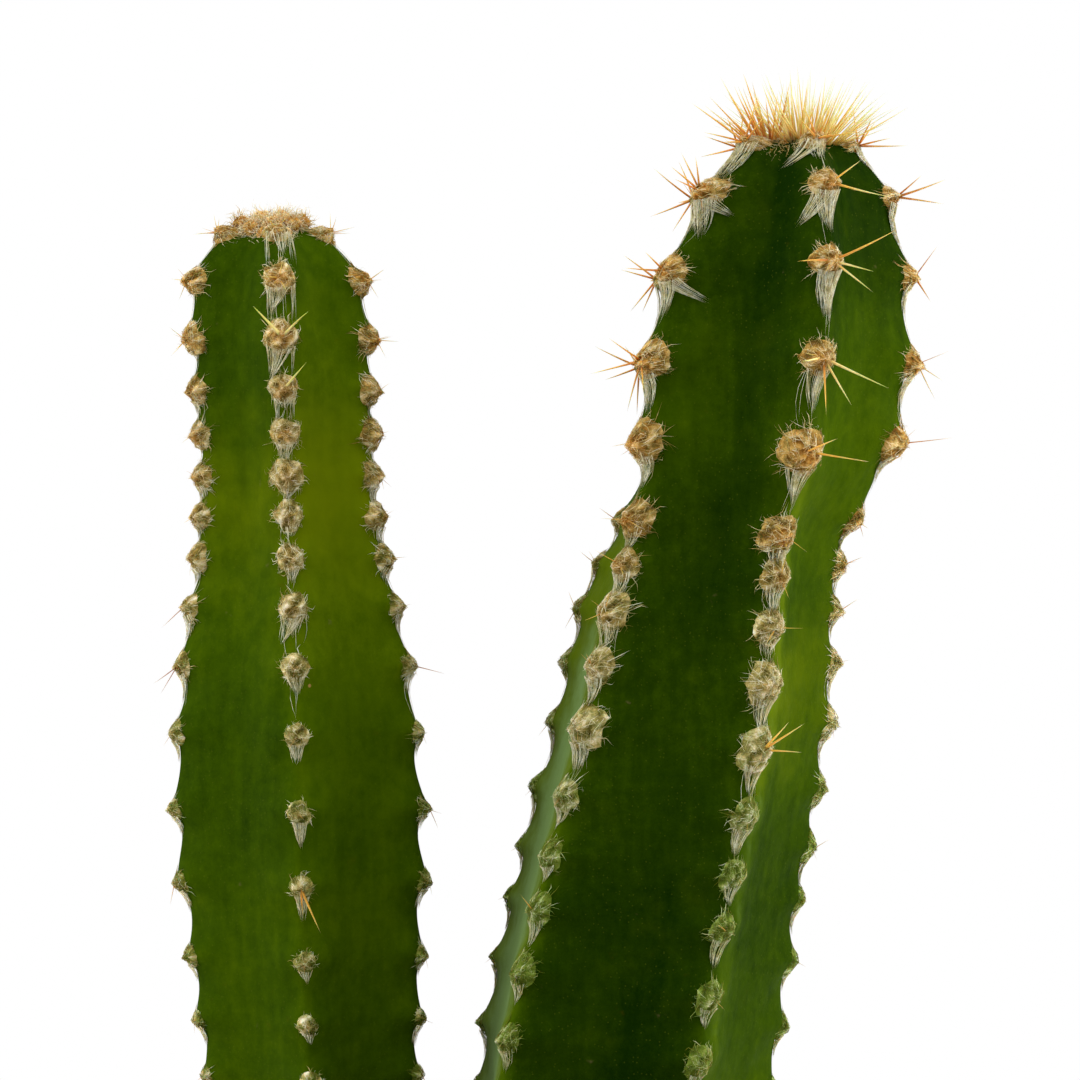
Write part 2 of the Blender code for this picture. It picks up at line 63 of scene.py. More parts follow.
MM = 0.001
RIBS = 5
RIB_STEP = 2 * math.pi / RIBS
SOIL_LEVEL = 100.0
GOLDEN_TURN = math.pi * (3 - math.sqrt(5))
RAMP_PLACES = (0.0, 0.25, 0.5, 0.75, 1.0)
LOWEST_AREOLE = 7.0


def through(keys: Sequence[float], values: Sequence[float], at: Array) -> Array:
    """Values on a smooth curve through rising keys: a cubic between neighbours, sloped by both sides.

    Args:
        keys: rising places along the curve.
        values: the curve's value at each key.
        at: the places to read.

    Returns:
        The curve's values at those places.
    """
    keys, values, at = (np.asarray(a, float) for a in (keys, values, at))
    slopes = np.gradient(values, keys)
    i = np.clip(np.searchsorted(keys, at) - 1, 0, len(keys) - 2)
    step = keys[i + 1] - keys[i]
    t = np.clip((at - keys[i]) / step, 0, 1)
    rise = 3 * t**2 - 2 * t**3
    return (
        values[i] * (1 - rise)
        + values[i + 1] * rise
        + slopes[i] * step * t * (1 - t) ** 2
        - slopes[i + 1] * step * t**2 * (1 - t)
    )


def read_table(table: tuple, at: Array) -> list[Array]:
    """Each column of a table of (key, value, ...) rows, as smooth curves read at some places."""
    keys, *columns = np.array(table).T
    return [through(keys, column, at) for column in columns]


def bell(distance: Array, width: float) -> Array:
    """A soft hump: exp of minus the square of distance over width."""
    return np.exp(-((np.asarray(distance) / width) ** 2))


def ripple(points: Array, wavelength: float, seed: int, waves: int = 9) -> Array:
    """Smooth unevenness in space, near -1 to 1: a mean of sine waves that run in seeded directions.

    Args:
        points: places, in the unit of the wavelength.
        wavelength: the typical distance from crest to crest.
        seed: fixes the directions and phases.
        waves: how many waves are summed.

    Returns:
        One number for each point.
    """
    chance = np.random.default_rng(seed)
    headings = chance.normal(size=(waves, 3))
    headings *= chance.uniform(0.7, 1.4, (waves, 1)) / np.linalg.norm(headings, axis=1, keepdims=True)
    phases = chance.uniform(0, 2 * math.pi, waves)
    total = np.sin(points @ headings.T * (2 * math.pi / wavelength) + phases)
    return total.sum(axis=-1) * math.sqrt(2 / waves) / 1.6


def unit(vectors: Array) -> Array:
    """Vectors of length 1 in the same directions."""
    return vectors / np.maximum(np.linalg.norm(vectors, axis=-1, keepdims=True), 1e-9)


def apart(angle: Array, place: float) -> Array:
    """How far round an angle is from a place, the short way, from -pi to pi."""
    return np.angle(np.exp(1j * (angle - place)))


def circles(radius: Array, turn: Array, height: Array) -> Array:
    """Points on level circles round Z, at turns that run from +Y towards +X."""
    return np.stack([radius * np.sin(turn), radius * np.cos(turn), height + 0 * radius * turn], axis=-1)


def full_turn(steps: int) -> Array:
    """Equal turns that go once round."""
    return np.arange(steps) * 2 * math.pi / steps


def wool_notes(tone: Array, rust: Array, moss: Array) -> dict[str, Array]:
    """The three notes of the wool's colour, each from 0 to 1, spread to one shape."""
    spread = np.broadcast_arrays(tone, rust, moss)
    return {key: np.clip(values, 0, 1) for key, values in zip(("tone", "rust", "moss"), spread)}


@dataclass
class Surface:
    """A mesh in the making: points in millimetres, quads, triangles, and a number a point for each note."""

    points: Array
    quads: Array = field(default_factory=lambda: np.empty((0, 4), int))
    tris: Array = field(default_factory=lambda: np.empty((0, 3), int))
    notes: dict[str, Array] = field(default_factory=dict)

    @staticmethod
    def joined(parts: Sequence["Surface"]) -> "Surface":
        """One surface that holds all the parts, whose notes have the same names."""
        starts = np.cumsum([0, *(len(part.points) for part in parts[:-1])])
        return Surface(
            points=np.concatenate([part.points for part in parts]),
            quads=np.concatenate([part.quads + start for part, start in zip(parts, starts)]),
            tris=np.concatenate([part.tris + start for part, start in zip(parts, starts)]),
            notes={key: np.concatenate([part.notes[key] for part in parts]) for key in parts[0].notes},
        )

    @property
    def triangles(self) -> int:
        """How many triangles the surface has once its quads are split."""
        return 2 * len(self.quads) + len(self.tris)

    def to_object(self, name: str, finish: Material, smooth: bool = True) -> bpy.types.Object:
        """The surface as a mesh object at the origin.

        Args:
            name: the object's name.
            finish: its material.
            smooth: whether its faces are shaded as one curved surface.

        Returns:
            The new object, linked to the scene.
        """
        mesh = bpy.data.meshes.new(name)
        mesh.vertices.add(len(self.points))
        mesh.vertices.foreach_set("co", (self.points * MM).ravel())
        mesh.loops.add(self.quads.size + self.tris.size)
        mesh.loops.foreach_set("vertex_index", np.r_[self.quads.ravel(), self.tris.ravel()])
        quad_starts = 4 * np.arange(len(self.quads))
        starts = np.r_[quad_starts, self.quads.size + 3 * np.arange(len(self.tris))]
        mesh.polygons.add(len(starts))
        mesh.polygons.foreach_set("loop_start", starts)
        mesh.polygons.foreach_set("use_smooth", np.full(len(starts), smooth))
        for key, values in self.notes.items():
            mesh.attributes.new(key, "FLOAT", "POINT").data.foreach_set("value", values.astype(np.float32))
        mesh.update(calc_edges=True)
        mesh.validate()
        mesh.materials.append(finish)
        made = bpy.data.objects.new(name, mesh)
        bpy.context.scene.collection.objects.link(made)
        return made


def grid_quads(rows: int, columns: int, ring: bool = False) -> Array:
    """Quads of a grid whose columns close round, facing out where rows run downwards.

    Args:
        rows: how many rows of points there are.
        columns: how many points each row has.
        ring: whether the last row is joined to the first too.

    Returns:
        The quads, as numbers of points.
    """
    row, column = np.meshgrid(np.arange(rows if ring else rows - 1), np.arange(columns), indexing="ij")
    here, beside = row * columns + column, row * columns + (column + 1) % columns
    below, below_beside = (here + columns) % (rows * columns), (beside + columns) % (rows * columns)
    return np.stack([here, below, below_beside, beside], axis=-1).reshape(-1, 4)


def closed_tube(rings: Array, top: Array, bottom: Array, notes: dict[str, Array]) -> Surface:
    """A surface through equal rings, top first, closed by a pole at each end.

    Args:
        rings: points, shaped rows by columns by 3.
        top: the pole above the first ring.
        bottom: the pole below the last ring.
        notes: numbers shaped rows by columns. Each pole takes the mean of its ring.

    Returns:
        The closed surface.
    """
    rows, columns = rings.shape[:2]
    step = np.arange(columns)
    following = (step + 1) % columns
    first, last = rows * columns, rows * columns + 1
    low = (rows - 1) * columns
    caps = [
        np.stack([np.full(columns, first), step, following], axis=-1),
        np.stack([np.full(columns, last), low + following, low + step], axis=-1),
    ]
    return Surface(
        points=np.concatenate([rings.reshape(-1, 3), [top], [bottom]]),
        quads=grid_quads(rows, columns),
        tris=np.concatenate(caps),
        notes={key: np.r_[n.ravel(), n[0].mean(), n[-1].mean()] for key, n in notes.items()},
    )


def fibres(paths: Array, thickness: Array, notes: dict[str, Array]) -> Surface:
    """Closed three-sided hairs along paths: a ring at each point but the last, which is the tip.

    Args:
        paths: points, shaped hairs by stations by 3, root first.
        thickness: the radius at each station, shaped hairs by stations.
        notes: numbers shaped hairs by stations.

    Returns:
        One surface that holds all the hairs.
    """
    hairs, stations = paths.shape[:2]
    along = unit(np.gradient(paths, axis=1))
    leaning = np.where(np.abs(along[:, :1, 2:]) > 0.9, [[[1.0, 0, 0]]], [[[0, 0, 1.0]]])
    side = unit(np.cross(along, leaning))
    other = np.cross(along, side)
    turns = full_turn(3)
    around = side[:, :-1, None] * np.cos(turns)[:, None] + other[:, :-1, None] * np.sin(turns)[:, None]
    rings = paths[:, :-1, None] + around * thickness[:, :-1, None, None]
    each = 3 * (stations - 1) + 1
    points = np.concatenate([rings.reshape(hairs, -1, 3), paths[:, -1:]], axis=1)
    row, turn = np.meshgrid(np.arange(stations - 2), np.arange(3), indexing="ij")
    here, beside = row * 3 + turn, row * 3 + (turn + 1) % 3
    quads = np.stack([here, beside, beside + 3, here + 3], axis=-1).reshape(-1, 4)
    low = 3 * (stations - 2)
    tips = [[low, low + 1, each - 1], [low + 1, low + 2, each - 1], [low + 2, low, each - 1], [2, 1, 0]]
    starts = each * np.arange(hairs)
    return Surface(
        points=points.reshape(-1, 3),
        quads=(quads + starts[:, None, None]).reshape(-1, 4),
        tris=(np.array(tips) + starts[:, None, None]).reshape(-1, 3),
        notes={key: np.c_[np.repeat(n[:, :-1], 3, axis=1), n[:, -1]].ravel() for key, n in notes.items()},
    )


class Graph:
    """A node tree while it is wired. Each method adds one node and gives back its output socket."""

    def __init__(self, tree: NodeTree) -> None:
        self.tree = tree

    def node(self, kind: str, inputs: dict | None = None, **settings: object) -> bpy.types.Node:
        """Adds a node, sets its own properties, and links or sets its inputs.

        Args:
            kind: the node's type.
            inputs: a socket or a constant for each input, by name or index.
            settings: the node's own properties.

        Returns:
            The new node.
        """
        made = self.tree.nodes.new(kind)
        for key, value in settings.items():
            setattr(made, key, value)
        for key, value in (inputs or {}).items():
            socket = made.inputs[key]
            if isinstance(value, Socket):
                self.tree.links.new(value, socket)
            else:
                socket.default_value = value
        return made

    def sum_of(self, kind: str, *values: object) -> Socket:
        """One Math node of the given operation."""
        return self.node("ShaderNodeMath", dict(enumerate(values)), operation=kind).outputs[0]

    def plus(self, value: object, factor: object, base: object) -> Socket:
        """A value times a factor, added to a base."""
        return self.sum_of("MULTIPLY_ADD", value, factor, base)

    def times(self, value: object, factor: object) -> Socket:
        """A value times a factor."""
        return self.sum_of("MULTIPLY", value, factor)

    def between(self, value: object, low: float, high: float, to: tuple = (0, 1)) -> Socket:
        """A clamped, smoothed step of a value from one range to another."""
        inputs = {"Value": value, "From Min": low, "From Max": high, "To Min": to[0], "To Max": to[1]}
        return self.node("ShaderNodeMapRange", inputs, interpolation_type="SMOOTHSTEP").outputs[0]

    def blend(self, share: object, first: object, second: object) -> Socket:
        """A mix of two colours by a share."""
        first, second = (v if isinstance(v, Socket) else (*v, 1.0) for v in (first, second))
        return self.node("ShaderNodeMix", {0: share, 6: first, 7: second}, data_type="RGBA").outputs[2]

    def bump(self, strength: float, distance: float, height: object) -> Socket:
        """A normal from a height that changes over a distance in metres."""
        inputs = {"Strength": strength, "Distance": distance, "Height": height}
        return self.node("ShaderNodeBump", inputs).outputs[0]

    def feed(self, shader: bpy.types.Node, inputs: dict[str, Socket]) -> None:
        """Links sockets to the shader's inputs of those names."""
        for key, socket in inputs.items():
            self.tree.links.new(socket, shader.inputs[key])

    def ramp(self, value: object, colours: Sequence[Colour]) -> Socket:
        """A colour read from a ramp of five colours, evenly spaced."""
        made = self.node("ShaderNodeValToRGB", {"Fac": value})
        while len(made.color_ramp.elements) < len(RAMP_PLACES):
            made.color_ramp.elements.new(0.5)
        for element, place, colour in zip(made.color_ramp.elements, RAMP_PLACES, colours):
            element.position = place
            element.color = (*colour, 1.0)
        return made.outputs[0]

    def place(self) -> Socket:
        """The Object coordinates."""
        return self.node("ShaderNodeTexCoord").outputs["Object"]

    def note(self, name: str) -> Socket:
        """A number that the mesh keeps at each point."""
        return self.node("ShaderNodeAttribute", attribute_name=name).outputs["Fac"]

    def grain(self, size: float, detail: float = 3.0, vector: object = None) -> Socket:
        """Noise whose lumps are about the given size in millimetres."""
        inputs = {"Vector": vector or self.place(), "Scale": 1 / (size * MM), "Detail": detail}
        return self.node("ShaderNodeTexNoise", inputs).outputs["Fac"]

    def group(self, tree: NodeTree, inputs: dict) -> Socket:
        """A shared effect placed in this tree with its own values."""
        return self.node("ShaderNodeGroup", inputs, node_tree=tree).outputs[0]


def new_group(name: str, inputs: dict[str, float], output: str) -> tuple[NodeTree, Graph]:
    """An empty node group whose sockets are all numbers.

    Args:
        name: the group's name.
        inputs: each input's name and resting value.
        output: its output's name.

    Returns:
        The group and a graph to wire it with.
    """
    tree = bpy.data.node_groups.new(name, "ShaderNodeTree")
    for key, value in inputs.items():
        tree.interface.new_socket(key, in_out="INPUT", socket_type="NodeSocketFloat").default_value = value
    tree.interface.new_socket(output, in_out="OUTPUT", socket_type="NodeSocketFloat")
    return tree, Graph(tree)


def mottle_group() -> NodeTree:
    """Soft clouds of variation: coarse noise plus half as much noise four times finer, centred on 0."""
    tree, graph = new_group("mottle", {"Size mm": 4.0, "Depth": 1.0}, "Value")
    source = graph.node("NodeGroupInput").outputs
    scale = graph.sum_of("DIVIDE", 1 / MM, source["Size mm"])
    coarse = graph.node("ShaderNodeTexNoise", {"Vector": graph.place(), "Scale": scale, "Detail": 2.0})
    finer = graph.times(scale, 4.0)
    fine = graph.node("ShaderNodeTexNoise", {"Vector": graph.place(), "Scale": finer, "Detail": 3.0})
    both = graph.plus(fine.outputs["Fac"], 0.5, coarse.outputs["Fac"])
    value = graph.times(graph.sum_of("SUBTRACT", both, 0.75), source["Depth"])
    graph.node("NodeGroupOutput", {"Value": value})
    return tree


def fleck_group() -> NodeTree:
    """Scattered round dots, each at a random cell's centre, in a share of the cells."""
    resting = {"Spacing mm": 1.0, "Dot size": 0.2, "Share": 0.5}
    tree, graph = new_group("flecks", resting, "Mask")
    source = graph.node("NodeGroupInput").outputs
    scale = graph.sum_of("DIVIDE", 1 / MM, source["Spacing mm"])
    cells = graph.node("ShaderNodeTexVoronoi", {"Vector": graph.place(), "Scale": scale})
    edge = graph.times(source["Dot size"], 0.55)
    limits = {"From Min": edge, "From Max": source["Dot size"], "To Min": 1.0, "To Max": 0.0}
    falling = graph.node("ShaderNodeMapRange", {"Value": cells.outputs["Distance"], **limits}).outputs[0]
    number = graph.node("ShaderNodeSeparateColor", {"Color": cells.outputs["Color"]}).outputs["Red"]
    chosen = graph.sum_of("LESS_THAN", number, source["Share"])
    graph.node("NodeGroupOutput", {"Mask": graph.times(falling, chosen)})
    return tree


class Finish:
    """What the finishes share: an empty material with its Principled shader, and the two effect groups."""

    groups: dict[str, NodeTree] = {}

    @classmethod
    def shared(cls, name: str) -> NodeTree:
        """One of the effect groups, built on first use."""
        makers = {"mottle": mottle_group, "flecks": fleck_group}
        if name not in cls.groups:
            cls.groups[name] = makers[name]()
        return cls.groups[name]

    @staticmethod
    def start(name: str, constants: dict[str, float]) -> tuple[Material, Graph, bpy.types.Node]:
        """A new material.

        Args:
            name: the material's name.
            constants: numbers set on the shader's own sockets.

        Returns:
            The material, a graph to wire it with, and its Principled shader.
        """
        made = bpy.data.materials.new(name)
        made.use_nodes = True
        shader = made.node_tree.nodes["Principled BSDF"]
        for key, value in constants.items():
            shader.inputs[key].default_value = value
        return made, Graph(made.node_tree), shader

    @classmethod
    def mottle(cls, graph: Graph, size: float, depth: float) -> Socket:
        """Clouds of variation of one size in millimetres, centred on 0."""
        return graph.group(cls.shared("mottle"), {"Size mm": size, "Depth": depth})

    @classmethod
    def flecks(cls, graph: Graph, spacing: float, dot: float, share: float) -> Socket:
        """A mask of scattered dots."""
        values = {"Spacing mm": spacing, "Dot size": dot, "Share": share}
        return graph.group(cls.shared("flecks"), values)


@dataclass(frozen=True)
class GreenSkin(Finish):
    """The stems' waxy skin. Its notes say how light, olive, blushed, bloomed and corky it is; how light
    holds painted light and shade.
    """

    greens: tuple[Colour, ...] = (
        (0.0038, 0.0150, 0.0003), (0.0120, 0.0300, 0.0003), (0.0270, 0.0560, 0.0003),
        (0.0480, 0.0850, 0.0004), (0.0810, 0.1250, 0.0015),
    )
    olive: Colour = (0.115, 0.150, 0.0005)
    blush: Colour = (0.080, 0.036, 0.0020)
    bloom: Colour = (0.150, 0.240, 0.075)
    cork: Colour = (0.150, 0.105, 0.050)
    fleck: Colour = (0.085, 0.110, 0.010)
    scab: Colour = (0.340, 0.200, 0.060)
    sheen: Colour = (0.85, 1.0, 0.05)

    def material(self) -> Material:
        """Greens by their note, which holds painted light and shade, clouded and streaked, with pale pores,
        tan scabs and a leathery bump.
        """
        made, graph, shader = self.start("green_skin", {"Specular IOR Level": 0.006})
        shader.inputs["Specular Tint"].default_value = (*self.sheen, 1.0)
        cloud = self.mottle(graph, 9.0, 0.9)
        upright = {"Vector": graph.place(), "Scale": (1.0, 1.0, 0.14)}
        streak = graph.node("ShaderNodeMapping", upright).outputs[0]
        streak = graph.sum_of("SUBTRACT", graph.grain(1.6, 3.0, streak), 0.5)
        # The green note carries painted light and shade by face and a painted dark valley.
        tone = graph.plus(cloud, 0.26, graph.note("green"))
        tone = graph.plus(self.mottle(graph, 1.2, 1.0), 0.24, tone)
        tone = graph.plus(streak, 0.3, tone)
        colour = graph.ramp(tone, self.greens)
        olive = graph.plus(cloud, 0.5, graph.note("olive"))
        colour = graph.blend(graph.between(olive, 0.0, 1.0), colour, self.olive)
        blush = graph.plus(self.mottle(graph, 2.5, 1.0), 1.0, graph.note("blush"))
        colour = graph.blend(graph.between(blush, 0.2, 1.1, (0.0, 0.85)), colour, self.blush)
        wax = graph.plus(self.mottle(graph, 5.0, 1.0), 0.55, graph.note("bloom"))
        wax = graph.between(wax, 0.28, 1.0, (0.0, 0.9))
        colour = graph.blend(wax, colour, self.bloom)
        pores = self.flecks(graph, 0.55, 0.22, 0.5)
        colour = graph.blend(graph.times(pores, 0.25), colour, self.fleck)
        scabs = self.flecks(graph, 6.5, 0.045, 0.1)
        colour = graph.blend(graph.times(scabs, 0.8), colour, self.scab)
        bark = graph.plus(self.mottle(graph, 3.0, 1.0), 1.1, graph.note("cork"))
        bark = graph.between(bark, 0.3, 0.75)
        colour = graph.blend(bark, colour, self.cork)
        rough = graph.between(self.mottle(graph, 2.0, 1.0), -0.3, 0.3, (0.42, 0.56))
        rough = graph.plus(wax, 0.2, rough)
        rough = graph.sum_of("MAXIMUM", rough, graph.times(bark, 0.85))
        height = graph.plus(pores, 0.25, graph.grain(0.45, 4.0))
        height = graph.plus(scabs, 1.5, height)
        height = graph.plus(graph.times(bark, graph.grain(1.2, 5.0)), 6.0, height)
        bump = graph.bump(0.35, 0.00012, height)
        graph.feed(shader, {"Base Color": colour, "Roughness": rough, "Normal": bump})
        return made


@dataclass(frozen=True)
class PlantWool(Finish):
    """Plant wool. Its tone note runs from dark to white, its rust note warms it, and moss greens it. The
    tone is partly painted: darker as shade in the pits between the lumps and under the hairs, lighter on the
    lumps' tops.
    """

    plain: tuple[Colour, ...] = (
        (0.065, 0.058, 0.009), (0.16, 0.135, 0.024), (0.34, 0.285, 0.085), (0.62, 0.53, 0.26),
        (0.88, 0.82, 0.62),
    )
    rusty: tuple[Colour, ...] = (
        (0.14, 0.048, 0.004), (0.29, 0.110, 0.012), (0.50, 0.245, 0.040), (0.74, 0.45, 0.15),
        (0.88, 0.70, 0.40),
    )
    mossy: tuple[Colour, ...] = (
        (0.040, 0.062, 0.003), (0.075, 0.115, 0.006), (0.125, 0.180, 0.018), (0.220, 0.290, 0.055),
        (0.500, 0.560, 0.250),
    )

    def material(self) -> Material:
        """Colour read from each hair's tone, broken up by fine noise, rough and slightly see-through."""
        constants = {"Roughness": 0.85, "Specular IOR Level": 0.1}
        constants |= {"Subsurface Weight": 0.2, "Subsurface Scale": 0.0008}
        made, graph, shader = self.start("areole_wool", constants)
        # The tone note holds painted shade in the pits and painted light on the lumps.
        tone = graph.plus(self.mottle(graph, 0.7, 1.0), 0.8, graph.note("tone"))
        plain, rusty, mossy = (graph.ramp(tone, row) for row in (self.plain, self.rusty, self.mossy))
        rust = graph.plus(self.mottle(graph, 1.4, 1.0), 0.5, graph.note("rust"))
        colour = graph.blend(graph.between(rust, 0.0, 1.0), plain, rusty)
        moss = graph.plus(self.mottle(graph, 1.0, 1.0), 0.7, graph.note("moss"))
        colour = graph.blend(graph.between(moss, 0.1, 0.9), colour, mossy)
        felt = graph.bump(0.7, 0.0002, graph.grain(0.3, 3.0))
        graph.feed(shader, {"Base Color": colour, "Normal": felt})
        return made


@dataclass(frozen=True)
class GoldenSpine(Finish):
    """Spines. Their tone note runs from brown through orange, gold and straw to yellow-green."""

    brown: Colour = (0.20, 0.055, 0.010)
    orange: Colour = (0.52, 0.20, 0.020)
    gold: Colour = (0.72, 0.42, 0.055)
    straw: Colour = (0.80, 0.66, 0.26)
    green: Colour = (0.46, 0.52, 0.060)

    def material(self) -> Material:
        """Horny and a little see-through, with streaks too fine to see apart."""
        constants = {"Roughness": 0.4, "Specular IOR Level": 0.3}
        constants |= {"Subsurface Weight": 0.3, "Subsurface Scale": 0.001}
        made, graph, shader = self.start("golden_spine", constants)
        tone = graph.plus(self.mottle(graph, 1.0, 1.0), 0.2, graph.note("tone"))
        colour = graph.ramp(tone, (self.brown, self.orange, self.gold, self.straw, self.green))
        graph.feed(shader, {"Base Color": colour})
        return made


@dataclass(frozen=True)
class FiredClay(Finish):
    """Unglazed terracotta: mottled, with a pale lime bloom, darker in clouds and towards the foot."""

    clay: Colour = (0.47, 0.17, 0.075)
    pale: Colour = (0.62, 0.30, 0.17)
    darkening: Colour = (0.30, 0.105, 0.050)
    lime: Colour = (0.70, 0.60, 0.50)
    pit: Colour = (0.20, 0.075, 0.04)

    def material(self) -> Material:
        """Clay clouded pale and darker, darker towards the foot, limed in patches, pitted, with a sandy
        bump.
        """
        made, graph, shader = self.start("fired_clay", {"Specular IOR Level": 0.25})
        cloud = self.mottle(graph, 22.0, 1.6)
        colour = graph.blend(graph.between(cloud, -0.45, 0.45), self.clay, self.pale)
        height = graph.node("ShaderNodeSeparateXYZ", {"Vector": graph.place()}).outputs["Z"]
        # Darker towards the foot and in clouds.
        low = graph.between(height, 0.0, 0.05, (0.75, 0.0))
        darkening = graph.sum_of("ADD", low, self.mottle(graph, 14.0, 1.2))
        colour = graph.blend(graph.between(darkening, 0.1, 0.9), colour, self.darkening)
        lime = graph.sum_of("ADD", self.mottle(graph, 9.0, 1.8), self.mottle(graph, 1.6, 0.8))
        colour = graph.blend(graph.between(lime, 0.22, 0.9, (0.0, 0.55)), colour, self.lime)
        pits = self.flecks(graph, 2.6, 0.13, 0.35)
        colour = graph.blend(graph.times(pits, 0.7), colour, self.pit)
        rough = graph.between(cloud, -0.4, 0.4, (0.78, 0.92))
        bump = graph.bump(0.5, 0.0002, graph.plus(pits, -1.2, graph.grain(0.35, 5.0)))
        graph.feed(shader, {"Base Color": colour, "Roughness": rough, "Normal": bump})
        return made


@dataclass(frozen=True)
class Loam(Finish):
    """Potting mix. Its tone note is 0 on dark crumbs, 0.5 on bark and 1 on white perlite."""

    peat: Colour = (0.020, 0.012, 0.007)
    crumb: Colour = (0.060, 0.036, 0.020)
    bark: Colour = (0.150, 0.075, 0.035)
    perlite: Colour = (0.72, 0.70, 0.65)

    def material(self) -> Material:
        """Dark crumbs, bark and perlite by the tone note, with a crumbly bump."""
        made, graph, shader = self.start("potting_mix", {"Roughness": 0.95, "Specular IOR Level": 0.15})
        dirt = graph.blend(graph.between(self.mottle(graph, 2.2, 1.5), -0.4, 0.4), self.peat, self.crumb)
        tone = graph.note("tone")
        colour = graph.blend(graph.between(tone, 0.2, 0.5), dirt, self.bark)
        colour = graph.blend(graph.between(tone, 0.7, 0.95), colour, self.perlite)
        stain = graph.between(self.mottle(graph, 1.0, 1.4), 0.0, 0.6, (0.0, 0.6))
        colour = graph.blend(stain, colour, self.crumb)
        bump = graph.bump(0.6, 0.0003, graph.grain(0.6, 6.0))
        graph.feed(shader, {"Base Color": colour, "Normal": bump})
        return made


@dataclass(frozen=True)
class SpineZone:
    """How the areoles down to this level are armed: one areole in so many, with so many spines each."""

    down_to_level: int
    one_in: int
    count: int
    length: float
    lean_degrees: float


@dataclass(frozen=True)
class StemPlan:
    """One column, by the same values as its solid. Heights are above the potting mix.

    outline: (height, crest radius) from the growing tip down to the buried root end.
    lean: (height, x, y) of the centre line, from the root end up.
    habit: (height, turn of the first rib in degrees, hollow of the faces, roundness), from the root end up.
    spacing: (height, crest length from one areole to the next), from the root end up.
    lag: (height, how far above the first rib's areoles the other ribs' sit, as a share of the spacing).
    areoles: (height, radius of an areole's wool), from the root end up.
    rib_reach: each rib's crest radius as a share of the outline's.
    """

    name: str
    seed: int
    outline: tuple
    lean: tuple
    habit: tuple
    spacing: tuple
    lag: tuple
    areoles: tuple
    rib_reach: tuple
    tip_pad_radius: float
    tip_spines: int
    tip_spine_length: float
    zones: tuple[SpineZone, ...]


SHORT_PLAN = StemPlan(
    name="stem_short",
    seed=11,
    outline=(
        (164, 0), (164.4, 3), (163.6, 6.8), (161.2, 9.8), (157.2, 11.8), (152, 12.5),
        (145, 12.5), (132, 12.2), (122, 13.1), (110, 15.5), (98, 16.9), (84, 17.3),
        (70, 16.1), (57, 14.9), (44, 13.9), (25, 12.8), (0, 11.6), (-24, 9.5),
    ),
    lean=(
        (-24, -17.9, 3), (0, -18.1, 3), (25, -18.3, 2.8), (50, -19.1, 2.6),
        (80, -20.6, 2.8), (110, -21.6, 3.4), (135, -22.8, 4.2), (165, -24.6, 5.4),
    ),
    habit=(
        (-24, 1, 0.05, 1), (1, 1, 0.05, 1), (14, 1, 0.04, 0.3), (30, 1, 0.04, 0),
        (50, 1.5, 0.05, 0), (105, 2.3, 0.05, 0), (135, 2.7, 0.07, 0), (150, 4, 0.09, 0),
        (165, 6, 0.13, 0),
    ),
    spacing=(
        (-24, 9.4), (36, 9), (50, 7.2), (64, 7.9), (75, 9.9), (85, 9.3), (95, 10),
        (104, 8.5), (114, 7.4), (122, 5.6), (133, 5.4), (142, 5.9), (150, 7.4), (165, 7.6),
    ),
    lag=((-24, 0), (165, 0)),
    areoles=((0, 1.3), (60, 1.6), (97, 1.8), (114, 2.1), (131, 2.5), (143, 2.6), (165, 2.7)),
    rib_reach=(1, 1, 0.98, 0.98, 1),
    tip_pad_radius=3.6,
    tip_spines=8,
    tip_spine_length=3.4,
    zones=(SpineZone(3, 1, 3, 3.2, 50), SpineZone(9, 2, 1, 2.4, 60), SpineZone(99, 4, 1, 3, 60)),
)

TALL_PLAN = StemPlan(
    name="stem_tall",
    seed=23,
    outline=(
        (173.8, 0), (174.6, 3.4), (174.3, 6.8), (172.3, 10.4), (169, 13.2), (165, 15.3),
        (160, 17.3), (150, 19.4), (138, 19), (131, 18.2), (124.5, 16.7), (116, 17.9),
        (100, 19.7), (77, 20.7), (57, 21.4), (42, 19.8), (25, 16.8), (0, 13.5), (-26, 10.5),
    ),
    lean=(
        (-26, 12.4, -3), (0, 13, -3), (25, 16, -3.2), (42, 18.4, -3.6),
        (57, 20.5, -4), (77, 23.9, -4.6), (100, 28.9, -5.2), (116, 31.4, -5.8),
        (124, 33.6, -6.1), (131, 36.6, -6.4), (138, 38.2, -6.7), (150, 39.4, -7),
        (162, 40.9, -7.3), (176, 43.2, -7.8),
    ),
    habit=(
        (-26, 28, 0.05, 1), (1, 28, 0.05, 1), (14, 28, 0.04, 0.3),
        (30, 28, 0.04, 0), (57, 27.5, 0.04, 0), (78, 29, 0.04, 0),
        (100, 29.2, 0.05, 0), (110, 29.8, 0.06, 0), (120, 28.5, 0.08, 0),
        (128, 22.5, 0.10, 0), (137, 18.5, 0.11, 0), (150, 20.5, 0.13, 0),
        (162, 21.5, 0.16, 0), (176, 21, 0.19, 0),
    ),
    spacing=(
        (-26, 9.6), (40, 9.6), (50, 9), (60, 8.1), (70, 8.8), (78, 6.7), (88, 7.8),
        (97, 8.8), (105, 7.7), (112, 6.9), (117, 6.3), (123, 5.4), (128, 11), (134, 12.7),
        (140, 11.4), (153, 12.5), (163, 11.2), (170, 9), (176, 7),
    ),
    lag=(
        (-26, 0.32), (60, 0.32), (114, 0.28), (126, 0.25), (142, 0.03), (160, -0.1),
        (176, -0.1),
    ),
    areoles=(
        (0, 1.6), (56, 2.1), (89, 2.3), (99, 2.9), (112, 2.6), (122, 2.6), (136, 3.5),
        (148, 2.9), (165, 2.8), (176, 2.5),
    ),
    rib_reach=(1, 1, 0.98, 0.94, 1),
    tip_pad_radius=4.4,
    tip_spines=14,
    tip_spine_length=8.4,
    zones=(SpineZone(4, 1, 5, 6, 52), SpineZone(8, 1, 2, 3.6, 60), SpineZone(99, 4, 1, 3, 60)),
)


